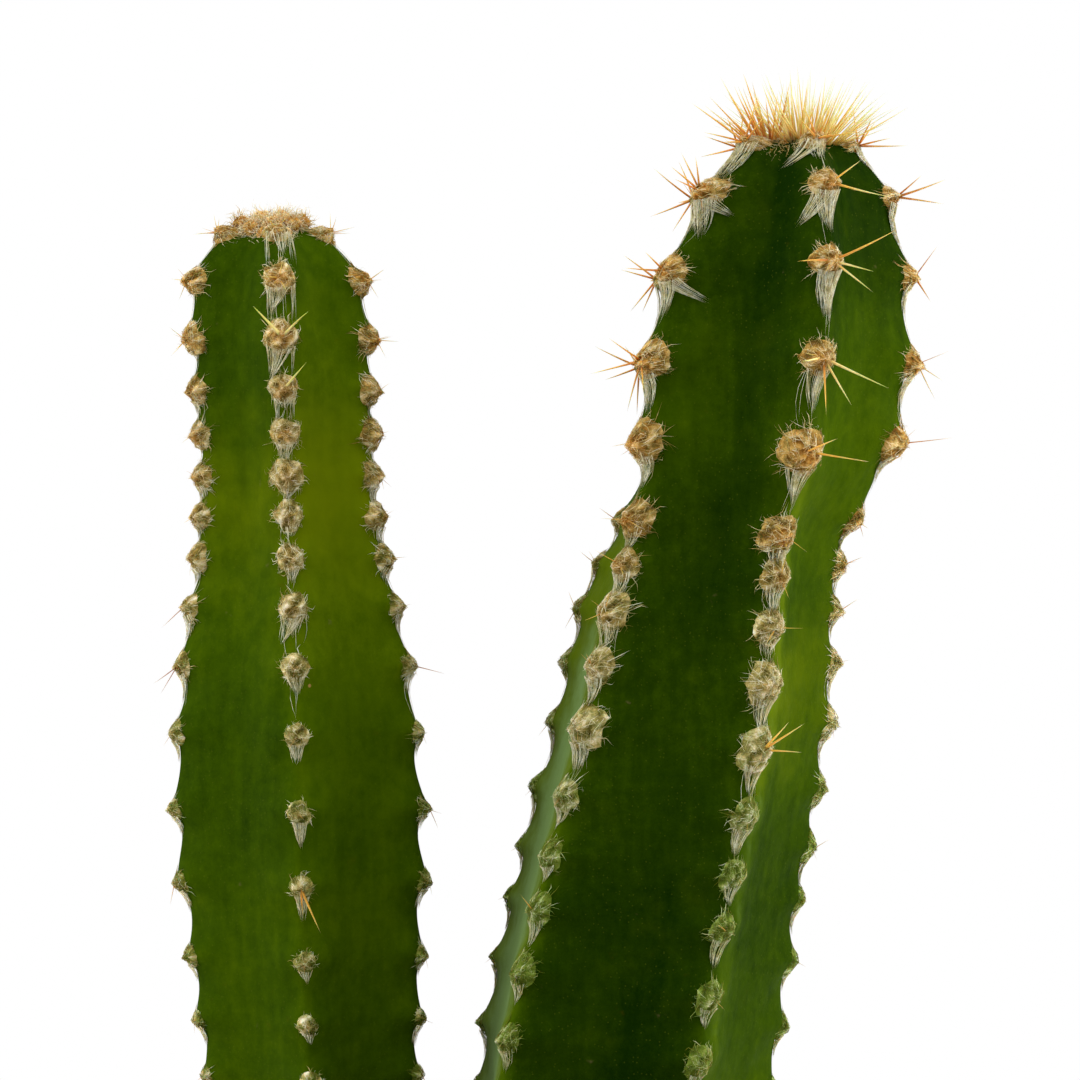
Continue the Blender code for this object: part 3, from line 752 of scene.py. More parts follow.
@dataclass
class Stations:
    """Frames on the skin: a point, the way out, the way up to the tip and the way across, a row each."""

    point: Array
    out: Array
    up: Array
    across: Array

    def __getitem__(self, rows: Array) -> "Stations":
        """The chosen rows."""
        return Stations(self.point[rows], self.out[rows], self.up[rows], self.across[rows])

    def lean(self, out: Array, up: Array, across: Array) -> Array:
        """Directions by their shares outwards, upwards and across."""
        return self.out * out[:, None] + self.up * up[:, None] + self.across * across[:, None]


class StemForm:
    """The formula of one stem's skin, worked out from its plan."""

    scallop_share = 0.13
    dip_place = 0.36
    scallop_width = math.radians(12)
    crest_round = math.radians(2.6)
    areole_round = math.radians(5.5)
    round_reach = math.radians(16)
    samples = 1200

    def __init__(self, plan: StemPlan) -> None:
        self.plan = plan
        heights, radii = np.array(plan.outline).T
        chords = np.r_[0, np.cumsum(np.hypot(np.diff(heights), np.diff(radii)))]
        place = np.linspace(0, chords[-1], self.samples)
        self.height = through(chords, heights, place)
        self.radius = np.maximum(through(chords, radii, place), 0)
        steps = np.hypot(np.diff(self.height), np.diff(self.radius))
        self.along = np.r_[0, np.cumsum(steps)]
        self.x, self.y = read_table(plan.lean, self.height)
        turn, self.hollow, roundness = read_table(plan.habit, self.height)
        self.turn, self.roundness = np.radians(turn), np.clip(roundness, 0, 1)
        (self.spacing,) = read_table(plan.spacing, self.height)
        self.level = np.r_[0, np.cumsum(steps / ((self.spacing[1:] + self.spacing[:-1]) / 2))]
        (self.lag,) = read_table(plan.lag, self.height)
        self.length = self.along[-1]

    def at(self, along: Array, channel: Array) -> Array:
        """One channel's value at a distance down the crest from the growing tip."""
        return np.interp(along, self.along, channel)

    def level_at(self, along: Array, angle: Array) -> Array:
        """The level of areoles at a place: the first rib's, plus the lag as a cosine to its neighbours."""
        turn = np.abs(apart(angle, 0.0))
        lagging = (1 - np.cos(math.pi * np.minimum(turn / RIB_STEP, 1))) / 2
        return self.at(along, self.level) + self.at(along, self.lag) * lagging

    def place_of_level(self, level: Array, rib: Array) -> Array:
        """How far down a rib's crest a level of areoles lies."""
        first = np.interp(level, self.level, self.along)
        lagging = np.interp(level, self.level + self.lag, self.along)
        return np.where(rib == 0, first, lagging)

    def at_height(self, height: float) -> float:
        """How far down the crest the stem passes a height above the potting mix, below its domed top."""
        top = int(np.argmax(self.height))
        return float(np.interp(-height, -self.height[top:], self.along[top:]))

    def off_crest(self, angle: Array) -> Array:
        """The angle to the nearest crest."""
        return np.abs(angle - np.round(angle / RIB_STEP) * RIB_STEP)

    def reach_at(self, angle: Array) -> Array:
        """Each rib's own share of the crest radius, eased from rib to rib by a cosine."""
        place = (angle / RIB_STEP) % RIBS
        low = np.floor(place).astype(int) % RIBS
        shares = np.array(self.plan.rib_reach)
        ease = (1 - np.cos(math.pi * (place % 1))) / 2
        return shares[low] * (1 - ease) + shares[(low + 1) % RIBS] * ease

    def skin(self, along: Array, angle: Array) -> Array:
        """Points of the skin. The angle runs round the stem from the first rib's crest.

        A face is a pentagon's side, cos(36)/cos(36 - a) of the crest radius at an angle a off the crest,
        less the hollow times sin(90 a / 36). Near the crest a fades to the root of a squared plus e squared,
        less e, which rounds it, with e larger at an areole. The crest dips a third of the way down from each
        areole to the next, by a share of the spacing, and the faces are uneven by a ripple.
        """
        along, angle = np.broadcast_arrays(np.asarray(along, float), np.asarray(angle, float))
        half = RIB_STEP / 2
        sharp = self.off_crest(angle)
        level = self.level_at(along, angle)
        near_areole = np.minimum(level % 1, 1 - level % 1)
        blunt = self.crest_round + self.areole_round * bell(near_areole, 0.24)
        rounded = sharp - np.sqrt(sharp**2 + blunt**2) + blunt
        soft = sharp - rounded * bell(sharp, self.round_reach)
        round_share = self.at(along, self.roundness)
        ribbed = 1 - round_share
        flat = math.cos(half) / np.cos(half - soft)
        hollow = self.at(along, self.hollow) * np.sin(math.pi / 2 * soft / half)
        reach = self.reach_at(angle) * ribbed + round_share
        share = (flat - hollow) * ribbed + round_share
        radius = self.at(along, self.radius)
        grown = np.minimum(radius / 8, 1) * ribbed
        skew = math.log(0.5) / math.log(self.dip_place)
        between = np.sin(math.pi * (level % 1) ** skew)
        depth = self.scallop_share * self.at(along, self.spacing)
        dip = depth * between * bell(sharp, self.scallop_width)
        out = radius * share * reach - dip * grown
        heading = self.at(along, self.turn) + angle
        x = self.at(along, self.x) + out * np.sin(heading)
        y = self.at(along, self.y) - out * np.cos(heading)
        points = np.stack([x, y, SOIL_LEVEL + self.at(along, self.height)], axis=-1)
        seed = self.plan.seed
        uneven = 0.13 * ripple(points, 14.0, seed) + 0.05 * ripple(points, 4.0, seed + 1)
        outward = np.stack([np.sin(heading), -np.cos(heading), 0 * heading], axis=-1)
        return points + outward * (uneven * grown)[..., None]

    def stations(self, along: Array, angle: Array) -> Stations:
        """Frames at places on the skin, from its slopes along and round the stem."""
        nudge, turn = 0.4, 0.02
        point = self.skin(along, angle)
        up = unit(self.skin(np.maximum(along - nudge, 0), angle) - self.skin(along + nudge, angle))
        across = unit(self.skin(along, angle + turn) - self.skin(along, angle - turn))
        out = unit(np.cross(across, up))
        return Stations(point, out, unit(np.cross(out, across)), across)


class Pool(Enum):
    """Which of a stem's wool pieces an areole's wool goes into, so that no piece grows too heavy."""

    CROWN = (0, 5)
    NECK = (5, 10)
    SHANK = (10, 99)


@dataclass(frozen=True)
class Sweep:
    """A lock of white strands that one areole throws to the side: how far across and down it reaches."""

    rib: int
    level: int
    across: float
    down: float
    strands: int = 26


@dataclass(frozen=True)
class LoneSpine:
    """One spine that stands out on the plant: its areole, its lean in the areole's frame, its colours."""

    rib: int
    level: int
    out: float
    up: float
    across: float
    length: float
    radius: float = 0.17
    root_tone: float = 0.2
    tip_tone: float = 0.6


def lone(*rows: tuple[float, ...]) -> tuple[LoneSpine, ...]:
    """One lone spine for each row of its values."""
    return tuple(LoneSpine(*row) for row in rows)


@dataclass(frozen=True)
class Habit:
    """How one stem's wool, skin and finer spines look. Heights are above the potting mix.

    rust: (height, how rusty the middle of an areole is).
    moss: (height, how green the wool is).
    white: (height, how much paler the wool's fringe is).
    beard: (height, length of the strands that hang from an areole).
    fluff: (height, hairs on each areole).
    tallness: (height, how tall an areole's wool is, as a share of its width).
    rise: how far the wool stands out, as a share of its radius.
    ribs: for each rib, the share of the wool's size, how much browner it is, and how much greener.
    olive_band and blush_band: (height, half width, strength) of the yellowed and the reddened stretch.
    olive_faces: the share of the olive band's strength on each face.
    faces: for each face, from the one right of the first rib on, (height, how light its green is), partly
    the face's own green and partly painted light and shade.
    streaks: each one's angle and half width in degrees, and (height, how much lighter it is, darker where
    below 0; the tall stem's dark strip down its front valley is painted shade).
    zone_looks: (root radius, root tone, tip tone) of the solid's own spines, for each of its spine zones.
    bristles: (down to level, count, length, radius) of the thin spines between the main ones.
    clumps: (X, Y, Z off the growing tip, radius, tone) of the balls of wool round it.
    arch_levels: how many areoles from the top have locks that lead to the next pad.
    """

    rust: tuple
    moss: tuple
    white: tuple
    beard: tuple
    fluff: tuple
    tallness: tuple
    rise: float
    olive_band: tuple[float, float, float]
    olive_faces: tuple[float, ...]
    blush_band: tuple[float, float, float]
    faces: tuple
    streaks: tuple
    zone_looks: tuple
    bristles: tuple
    ribs: tuple
    clumps: tuple
    arch_levels: int = 0
    sweeps: tuple[Sweep, ...] = ()
    lone_spines: tuple[LoneSpine, ...] = ()


SHORT_HABIT = Habit(
    rust=((0, 0.5), (90, 0.35), (118, 0.4), (135, 0.6), (150, 0.85), (165, 1)),
    moss=((0, 0.5), (60, 0.45), (100, 0.32), (112, 0.12), (122, 0.02), (165, 0)),
    white=((0, -0.05), (60, -0.05), (105, -0.04), (120, 0), (140, 0), (165, 0.04)),
    beard=((0, 1.5), (60, 2.6), (100, 3.4), (125, 3), (140, 2.2), (155, 1.3), (165, 0.7)),
    fluff=((0, 60), (60, 110), (110, 160), (130, 210), (165, 230)),
    tallness=((0, 1.05), (120, 1), (165, 0.92)),
    rise=0.42,
    olive_band=(129, 12, 0.6),
    olive_faces=(1, 0.9, 0.6, 0.6, 0.6),
    blush_band=(122, 14, 0.7),
    # How light each face's green is: partly its own green, partly painted light and shade.
    faces=(
        ((0, 0.4), (57, 0.43), (66, 0.55), (87, 0.57), (98, 0.66), (108, 0.8), (117, 0.84))
        + ((128, 0.92), (140, 0.88), (151, 0.7), (159, 0.55), (165, 0.5)),
        ((0, 0.4), (100, 0.55), (120, 0.7), (140, 0.7), (165, 0.5)),
        ((0, 0.45), (100, 0.5), (130, 0.55), (165, 0.42)),
        ((0, 0.45), (100, 0.5), (130, 0.55), (165, 0.42)),
        ((0, 0.45), (60, 0.52), (76, 0.51), (87, 0.41), (98, 0.4), (108, 0.53), (117, 0.55))
        + ((134, 0.5), (142, 0.45), (151, 0.41), (165, 0.4)),
    ),
    streaks=((0, 5, ((0, 0.05), (100, 0.12), (165, 0.06))),),
    zone_looks=((0.07, 0.3, 0.75), (0.05, 0.3, 0.7), (0.06, 0.2, 0.5)),
    bristles=((2, 2, 1.4, 0.05), (9, 1, 0.9, 0.04), (99, 1, 0.9, 0.04)),
    ribs=((1, 0, 0), (0.92, 0.16, 0.2), (0.9, 0.16, 0.2), (0.9, 0.16, 0.2), (0.92, 0.14, 0.1)),
    clumps=(
        (-4, -1.8, 0.7, 1.5, 0.6), (-2.6, -3.6, 0, 1.5, 0.75), (-1.5, 0.6, 1.3, 1.7, 0.85),
        (0.2, -3.2, 0.6, 1.5, 0.9), (-0.8, -4.8, -0.9, 1.5, 0.75), (1.2, -0.8, 1.5, 1.6, 0.95),
        (2.6, -2.8, 0.7, 1.5, 0.75), (3.6, -0.2, 1, 1.5, 0.65), (1.6, -4.6, -0.8, 1.4, 0.85),
        (-0.6, 3.4, 0.6, 1.6, 0.7), (2.4, 3, 0.5, 1.5, 0.7), (-3.2, 2.4, 0.5, 1.5, 0.7),
    ),
    arch_levels=4,
    sweeps=(
        Sweep(0, 1, -1.6, 3.5), Sweep(0, 2, -1.8, 4.2), Sweep(0, 8, -1.8, 3.6), Sweep(0, 0, 0.6, 3.4, 14),
    ),
    lone_spines=lone(
        (0, 2, 0.35, 0.75, -0.6, 6.4, 0.30, 0.75, 1), (0, 2, 0.35, 0.75, 0.55, 5.8, 0.24, 0.75, 1),
        (0, 3, 0.35, 0.75, 0.5, 5.4, 0.22, 0.75, 1), (0, 12, 0.3, -0.75, 0.35, 6.2, 0.2, 0.3, 0.6),
        (0, 12, 0.4, -0.7, 0.05, 3.4, 0.15, 0.1, 0.5), (4, 9, 0.9, -0.35, -0.1, 3.8, 0.08, 0, 0.2),
        (4, 9, 0.7, -0.65, -0.1, 4.2, 0.07, 0, 0.2), (4, 8, 0.75, -0.6, -0.3, 4, 0.07, 0, 0.2),
        (1, 9, 1, 0, 0.1, 4.2, 0.07, 0, 0.3),
    ),
)

TALL_HABIT = Habit(
    rust=((0, 0.05), (84, 0.1), (97, 0.2), (115, 0.45), (125, 0.9), (140, 1), (176, 1.1)),
    moss=((0, 0.95), (60, 0.95), (84, 0.8), (93, 0.5), (103, 0.15), (118, 0.1), (126, 0)),
    white=((0, -0.1), (84, -0.05), (94, 0), (105, 0.02), (118, -0.06))
    + ((140, -0.02), (176, 0.06)),
    beard=((0, 2), (60, 3.6), (95, 3.8), (125, 4), (150, 6.2), (176, 5.5)),
    fluff=((0, 70), (60, 140), (90, 190), (105, 230), (150, 220), (176, 190)),
    tallness=((0, 1.1), (105, 1.1), (120, 1), (140, 0.9), (176, 0.8)),
    rise=0.45,
    olive_band=(104, 10, 0.3),
    olive_faces=(1, 0.5, 0.3, 0, 0),
    blush_band=(122, 10, 0.1),
    # How light each face's green is: partly its own green, partly painted light and shade.
    faces=(
        ((0, 0.45), (57, 0.5), (66, 0.42), (77, 0.32), (88, 0.42), (103, 0.6), (116, 0.5))
        + ((129, 0.63), (142, 0.56), (152, 0.42), (163, 0.16), (176, 0.14)),
        ((0, 0.4), (80, 0.45), (130, 0.5), (176, 0.25)),
        ((0, 0.35), (80, 0.4), (130, 0.4), (176, 0.2)),
        ((0, 0.7), (60, 1), (110, 1), (120, 0.95), (135, 0.65), (176, 0.3)),
        ((0, 0.2), (64, 0.2), (77, 0.19), (90, 0.27), (103, 0.32), (116, 0.26), (129, 0.36))
        + ((142, 0.45), (152, 0.34), (168, 0.28), (176, 0.25)),
    ),
    streaks=(
        # Darker strip down the front face's valley: painted shade.
        (-25, 13, ((0, -0.12), (74, -0.12), (90, -0.05), (105, -0.06), (121, -0.14))
            + ((136, -0.22), (152, -0.3), (176, -0.28))),
        (8, 6, ((0, 0.2), (80, 0.25), (100, 0.35), (126, 0.35), (136, 0.05), (176, 0))),
    ),
    zone_looks=((0.17, 0.15, 0.65), (0.07, 0.2, 0.6), (0.06, 0.2, 0.5)),
    bristles=((4, 1, 2.6, 0.06), (9, 1, 1, 0.045), (99, 1, 0.9, 0.04)),
    ribs=((1, 0, 0), (0.8, 0.16, 0.1), (0.8, 0.16, 0.2), (0.75, 0.16, 0.4), (1, 0, 0)),
    clumps=(
        (-5.2, -3.2, -1.6, 1.6, 0.75), (-3, -4.4, -1.4, 1.5, 0.6), (-0.6, -5, -1.6, 1.4, 0.5),
        (2.2, -4.6, -1.2, 1.4, 0.55), (-4.6, 2.4, -0.6, 1.5, 0.6), (4.6, 1, -0.6, 1.4, 0.55),
        (0.8, 4.2, -0.6, 1.5, 0.6),
    ),
    sweeps=(
        Sweep(4, 1, 4.2, 2.4), Sweep(4, 1, 1.5, 5.5, 34), Sweep(4, 2, 5.4, 3, 34),
        Sweep(4, 0, 0.5, 6.5, 44), Sweep(0, 1, -3, 5), Sweep(0, 2, 1, 6.6, 44),
        Sweep(0, 0, -4, 5), Sweep(1, 1, 0.5, 6.5),
    ),
    lone_spines=lone(
        (0, 1, 0.45, -0.35, 0.9, 7.6, 0.2, 0.35, 0.95), (0, 1, 0.7, 0.5, 0.5, 5, 0.17, 0.3, 0.8),
        (0, 2, 0.35, 0.1, -1, 7.6, 0.17, 0.1, 0.55), (0, 2, 0.35, 0.5, 0.85, 9, 0.2, 0.25, 0.6),
        (0, 2, 0.45, -0.15, 0.9, 5.4, 0.2, 0.6, 1), (0, 2, 0.45, -0.55, 0.8, 6.4, 0.2, 0.5, 1),
        (0, 3, 0.5, 0.1, -0.9, 4.6, 0.2, 0.5, 0.95), (0, 3, 0.4, -0.3, 0.9, 9.2, 0.22, 0.6, 1),
        (0, 3, 0.55, -0.75, 0.5, 7, 0.2, 0.5, 0.9), (0, 3, 0.6, -0.9, 0, 7.4, 0.2, 0.2, 0.6),
        (0, 4, 0.5, 0.15, 0.9, 8, 0.18, 0.3, 0.7), (0, 4, 0.6, 0.8, 0.3, 6, 0.18, 0.3, 0.7),
        (0, 4, 0.7, 0.6, -0.2, 5, 0.18, 0.2, 0.6), (0, 9, 0.4, 0.75, 0.6, 6.4, 0.2, 0.3, 0.65),
        (0, 9, 0.4, 0.85, 0.3, 5.4, 0.2, 0.35, 0.7), (0, 9, 0.5, 0.2, 0.8, 5, 0.18, 0.35, 0.7),
        (4, 1, 0.8, 0.5, -0.2, 5.4, 0.19, 0.15, 0.6), (4, 1, 0.6, 0.85, -0.1, 5.6, 0.19, 0.2, 0.65),
        (4, 1, 0.4, 0.95, 0.2, 4.6, 0.18, 0.15, 0.6), (4, 1, 0.95, 0.2, 0, 4.6, 0.18, 0.1, 0.5),
        (4, 2, 0.9, 0.15, -0.3, 5.4, 0.18, 0.1, 0.55), (4, 2, 0.6, 0.7, -0.2, 3.6, 0.18, 0.1, 0.6),
        (1, 1, 0.95, 0.35, -0.1, 6.8, 0.2, 0.15, 0.6), (1, 1, 0.95, -0.05, 0, 6.2, 0.18, 0.15, 0.6),
        (1, 1, 0.75, 0.7, -0.2, 4.4, 0.16, 0.1, 0.5), (1, 2, 0.2, 0.95, -0.2, 5, 0.1, 0, 0.3),
        (1, 2, 0.8, -0.5, -0.1, 3.8, 0.16, 0.1, 0.5), (1, 3, 0.8, -0.6, 0, 5.2, 0.1, 0.4, 0.7),
        (1, 3, 0.95, -0.1, 0, 4, 0.09, 0.4, 0.7), (1, 4, 0.75, 0.65, 0, 6.6, 0.09, 0.1, 0.4),
    ),
)


class Column:
    """One stem dressed: its skin, the wool and cobweb of its areoles, and its spines."""

    row_step = 0.7
    old_level = 9
    rib_columns = 26
    crown_hairs = 900
    clump_hairs = 210
    core_turns = 18

    def __init__(self, plan: StemPlan, habit: Habit, finishes: dict[str, Material]) -> None:
        self.plan = plan
        self.habit = habit
        self.form = StemForm(plan)
        self.finishes = finishes
        self.chance = np.random.default_rng(plan.seed)
        levels = np.arange(math.ceil(self.form.level[-1]))
        rib, level = (a.ravel() for a in np.meshgrid(np.arange(RIBS), levels, indexing="ij"))
        along = self.form.place_of_level(level + 1.0, rib)
        above = along < self.form.at_height(LOWEST_AREOLE)
        self.rib, self.level, self.along = rib[above], level[above], along[above]
        self.areoles = self.form.stations(self.along, self.rib * RIB_STEP)
        self.areole_height = self.areoles.point[:, 2] - SOIL_LEVEL
        size, browner, greener = np.array(habit.ribs)[self.rib].T
        jitter = self.chance.uniform(0.9, 1.1, len(self.rib))
        self.areole_radius = self.by_height(plan.areoles) * size * jitter
        self.rust = self.by_height(habit.rust) + browner
        self.moss = self.by_height(habit.moss) + greener
        self.white = self.by_height(habit.white)
        self.tallness = self.by_height(habit.tallness)

    def by_height(self, curve: tuple) -> Array:
        """A (height, value) curve read at each areole."""
        return read_table(curve, self.areole_height)[0]

    def which(self, rib: int, level: int) -> int:
        """The number of the areole at a rib and level."""
        return int(np.flatnonzero((self.rib == rib) & (self.level == level))[0])

    def skin_surface(self) -> Surface:
        """The skin as rings, with columns crowded towards the crests, and the notes of its colour."""
        form = self.form
        share = np.linspace(0.004, 1, round(form.length / self.row_step))
        along = form.length * share[:, None]
        half = self.rib_columns / 2
        t = (np.arange(self.rib_columns) - half) / half
        within = (0.38 * t + 0.62 * t**3) * RIB_STEP / 2
        angle = (np.arange(RIBS)[:, None] * RIB_STEP + within).ravel()[None, :]
        rings = form.skin(along, angle)
        notes = self.skin_notes(along, angle, rings)
        return closed_tube(rings, form.skin(0.0, 0.0), rings[-1].mean(axis=0), notes)

    def skin_notes(self, along: Array, angle: Array, points: Array) -> dict[str, Array]:
        """How light the green is, partly painted light and shade by face, and how olive, blushed, bloomed
        and corky, from 0 to 1 at each point.
        """
        form, habit = self.form, self.habit
        height = points[..., 2] - SOIL_LEVEL
        off = form.off_crest(angle)
        level = form.level_at(along, angle) + 0 * height
        near_areole = np.minimum(level % 1, 1 - level % 1)
        centre, width, strength = habit.olive_band
        olive = strength * bell(height - centre, width) * self.by_face(angle, np.array(habit.olive_faces))
        # Each face's lightness by height: partly its own green, partly painted light and shade.
        tones = np.array([read_table(curve, height)[0] for curve in habit.faces])
        green = self.by_face(angle, tones)
        # Each streak lightens or darkens a strip; the tall stem's dark valley strip is painted shade.
        for place, half_width, curve in habit.streaks:
            away = apart(angle, math.radians(place))
            green = green + bell(away, math.radians(half_width)) * read_table(curve, height)[0]
        blush_centre, blush_width, blush_strength = habit.blush_band
        edge = bell(off, math.radians(7)) * (0.45 + 0.55 * bell(near_areole, 0.2))
        blush = blush_strength * bell(height - blush_centre, blush_width) * edge
        return {
            "green": np.clip(green, 0, 1),
            "olive": olive,
            "blush": blush,
            "bloom": self.bloom(angle, height),
            "cork": np.clip((26 - height) / 22, 0, 1) ** 1.5,
        }

    def by_face(self, angle: Array, values: Array) -> Array:
        """Each face's own value, eased into its neighbour's across the rib between them.

        Args:
            angle: angles round the stem from the first rib's crest.
            values: one number, or one array like the result, for each face from the first rib's right on.

        Returns:
            The value at each angle.
        """
        place = (angle / RIB_STEP - 0.5) % RIBS
        low = np.floor(place).astype(int) % RIBS
        share = np.clip((place % 1 - 0.5) * 4 + 0.5, 0, 1)
        share = share * share * (3 - 2 * share)
        if values.ndim == 1:
            return values[low] * (1 - share) + values[(low + 1) % RIBS] * share
        low = np.broadcast_to(low, values.shape[1:])
        faces = (low, (low + 1) % RIBS)
        here, beside = (np.take_along_axis(values, face[None], axis=0)[0] for face in faces)
        return here * (1 - share) + beside * share

    def bloom(self, angle: Array, height: Array) -> Array:
        """The short stem's bloom: none but a trace low down."""
        return 0.1 * np.clip((60 - height) / 60, 0, 1) + 0 * angle

    def settled(self, owner: Array, local: Array) -> Array:
        """Points from their places round their own areoles, draped over the skin.

        Args:
            owner: the areole of each hair.
            local: hairs by stations by (across, up, lift), a shift on the skin and a lift off it.

        Returns:
            The points, shaped as local.
        """
        form = self.form
        around = np.maximum(form.at(self.along[owner], form.radius), 4.0)[:, None]
        along = np.maximum(self.along[owner][:, None] - local[..., 1], 0.1)
        angle = self.rib[owner][:, None] * RIB_STEP + local[..., 0] / around
        return form.skin(along, angle) + self.areoles.out[owner][:, None] * local[..., 2:]

    def on_pad(self, owner: Array, disc: Array, above: Array) -> tuple[Array, Array]:
        """Places on the woolly pads, each a low dome with lumps, as (across, up, lift) for settled.

        The dome rises by the root of 1 less the square of the distance from its middle. A ripple of 1.5 mm
        makes its lumps, which fade at the rim, and a longer one makes its outline uneven.

        Args:
            owner: the areole of each row.
            disc: rows by stations by (across, up), as shares of the pad's radius.
            above: how far over the dome each place is, rows by stations.

        Returns:
            The places, and the height of the lumps there from about -1 to 1.
        """
        radius = self.areole_radius[owner][:, None]
        tallness = self.tallness[owner][:, None]
        flat = np.pad(disc, ((0, 0), (0, 0), (0, 1)))
        seeds = self.areoles.point[owner][:, None] + radius[..., None] * flat
        lumps = ripple(seeds, 1.5, self.plan.seed + 5, 12)
        dome = np.sqrt(np.maximum(1 - (disc**2).sum(axis=-1), 0))
        wide = 0.92 * radius * (1 + 0.12 * ripple(seeds, 3.0, self.plan.seed + 6))
        lift = self.habit.rise * radius * dome + 0.12 * radius * lumps * dome + above
        return np.stack([wide * disc[..., 0], wide * tallness * disc[..., 1], lift], axis=-1), lumps

    def wool_cores(self, chosen: Array) -> Surface:
        """The felted body of each chosen pad: a dome draped over its crest, closed under the skin. Its tone
        is darker than the felt's and lighter on its lumps, as painted shade and light.
        """
        owner = np.flatnonzero(chosen)
        reach = np.array([0.2, 0.4, 0.58, 0.74, 0.87, 0.96, 1.0, 1.0])[:, None]
        sunk = np.array([0.0, 0, 0, 0, 0, 0, 0, 0.7])[:, None]
        turns = full_turn(self.core_turns)
        grid = (-1, len(reach), len(turns))
        disc = np.stack([reach * np.cos(turns), reach * np.sin(turns)], axis=-1).reshape(1, -1, 2)
        disc = np.repeat(disc, len(owner), axis=0)
        places = np.pad(disc, ((0, 0), (0, 0), (0, 1))) + owner[:, None, None]
        grain = 0.09 * ripple(places, 0.3, 3, 14)
        local, lumps = self.on_pad(owner, disc, grain - 0.1 - (sunk + 0 * turns).reshape(1, -1))
        shaped = self.settled(owner, local).reshape(*grid, 3)
        rust = self.rust[owner][:, None] * (0.5 + 0.5 * bell(np.linalg.norm(disc, axis=-1), 0.5))
        # Darker than the felt on it, lighter on the lumps and darker between them: painted shade and light.
        tone = 0.47 - 0.12 * rust + 0.34 * lumps + 1.2 * grain + self.white[owner][:, None]
        notes = wool_notes(tone, rust, self.moss[owner][:, None] - 0.12 * lumps)
        notes = {key: values.reshape(grid) for key, values in notes.items()}
        caps = shaped[:, 0].mean(axis=1)
        roots = self.areoles.point[owner] - self.areoles.out[owner] * 0.9
        return Surface.joined([
            closed_tube(shaped[i], caps[i], roots[i], {key: values[i] for key, values in notes.items()})
            for i in range(len(owner))
        ])

    def felt(self, chosen: Array) -> Surface:
        """Fine hairs that lie curled on each chosen pad and follow its lumps, paler on top of them and
        darker between them, as painted light and shade.

        A hair starts anywhere on the pad, in any direction, and bends evenly.
        """
        counts = self.by_height(self.habit.fluff)[chosen].astype(int)
        owner = np.repeat(np.flatnonzero(chosen), counts)
        number, chance, t = len(owner), self.chance, np.linspace(0, 1, 3)
        reach = np.sqrt(chance.uniform(0, 1.0, number))
        turn = chance.uniform(0, 2 * math.pi, number)
        start = np.stack([reach * np.cos(turn), reach * np.sin(turn)], axis=-1)[:, None]
        heading = chance.uniform(0, 2 * math.pi, (number, 1)) + chance.normal(0, 2.4, (number, 1)) * t
        step = np.stack([np.cos(heading), np.sin(heading)], axis=-1)
        step = np.cumsum((step[:, 1:] + step[:, :-1]) / 2, axis=1) / 2
        span = chance.uniform(0.3, 0.95, (number, 1, 1))
        disc = start + np.pad(step * span, ((0, 0), (1, 0), (0, 0)))
        above = 0.02 + chance.uniform(0, 0.16, (number, 1)) * np.array([0.3, 1.0, 0.6])
        local, lumps = self.on_pad(owner, disc, above)
        thick = chance.uniform(0.026, 0.05, (number, 1)) * np.array([0.9, 1.0, 0.0])
        rust = self.rust[owner][:, None] * (0.4 + 0.6 * bell(np.linalg.norm(disc, axis=-1), 0.5))
        white = self.white[owner][:, None]
        # Lighter on the lumps and darker between them: painted light and shade.
        tone = 0.7 + white + 0.3 * lumps - 0.12 * rust + chance.normal(0, 0.17, (number, 1))
        moss = self.moss[owner][:, None] - 0.15 * lumps + chance.normal(0, 0.2, (number, 1))
        return fibres(self.settled(owner, local), thick, wool_notes(tone, rust, moss))

    def curls(self, root: Array, away: Array, length: Array, curl: Array, stations: int = 4) -> Array:
        """Winding paths: on by length times t, and sideways by curl times length times a turning step.

        The step is (sin(3.4 t + phase) - sin(phase), cos(3.4 t + phase) - cos(phase)) on two directions at
        right angles to the first.

        Args:
            root: where each hair starts, hairs by 3.
            away: the direction that each starts in.
            length: each hair's length.
            curl: how far each winds, as a share of its length.
            stations: points on each path.

        Returns:
            Points, hairs by stations by 3.
        """
        number = len(root)
        t = np.linspace(0, 1, stations)[None, :, None]
        side = unit(np.cross(away, self.chance.normal(size=(number, 3))))[:, None]
        other = np.cross(away[:, None], side)
        phase = self.chance.uniform(0, 2 * math.pi, (number, 1, 1))
        wound = side * (np.sin(3.4 * t + phase) - np.sin(phase))
        wound = wound + other * (np.cos(3.4 * t + phase) - np.cos(phase))
        size = length[:, None, None]
        return root[:, None] + away[:, None] * size * t + wound * size * curl[:, None, None]

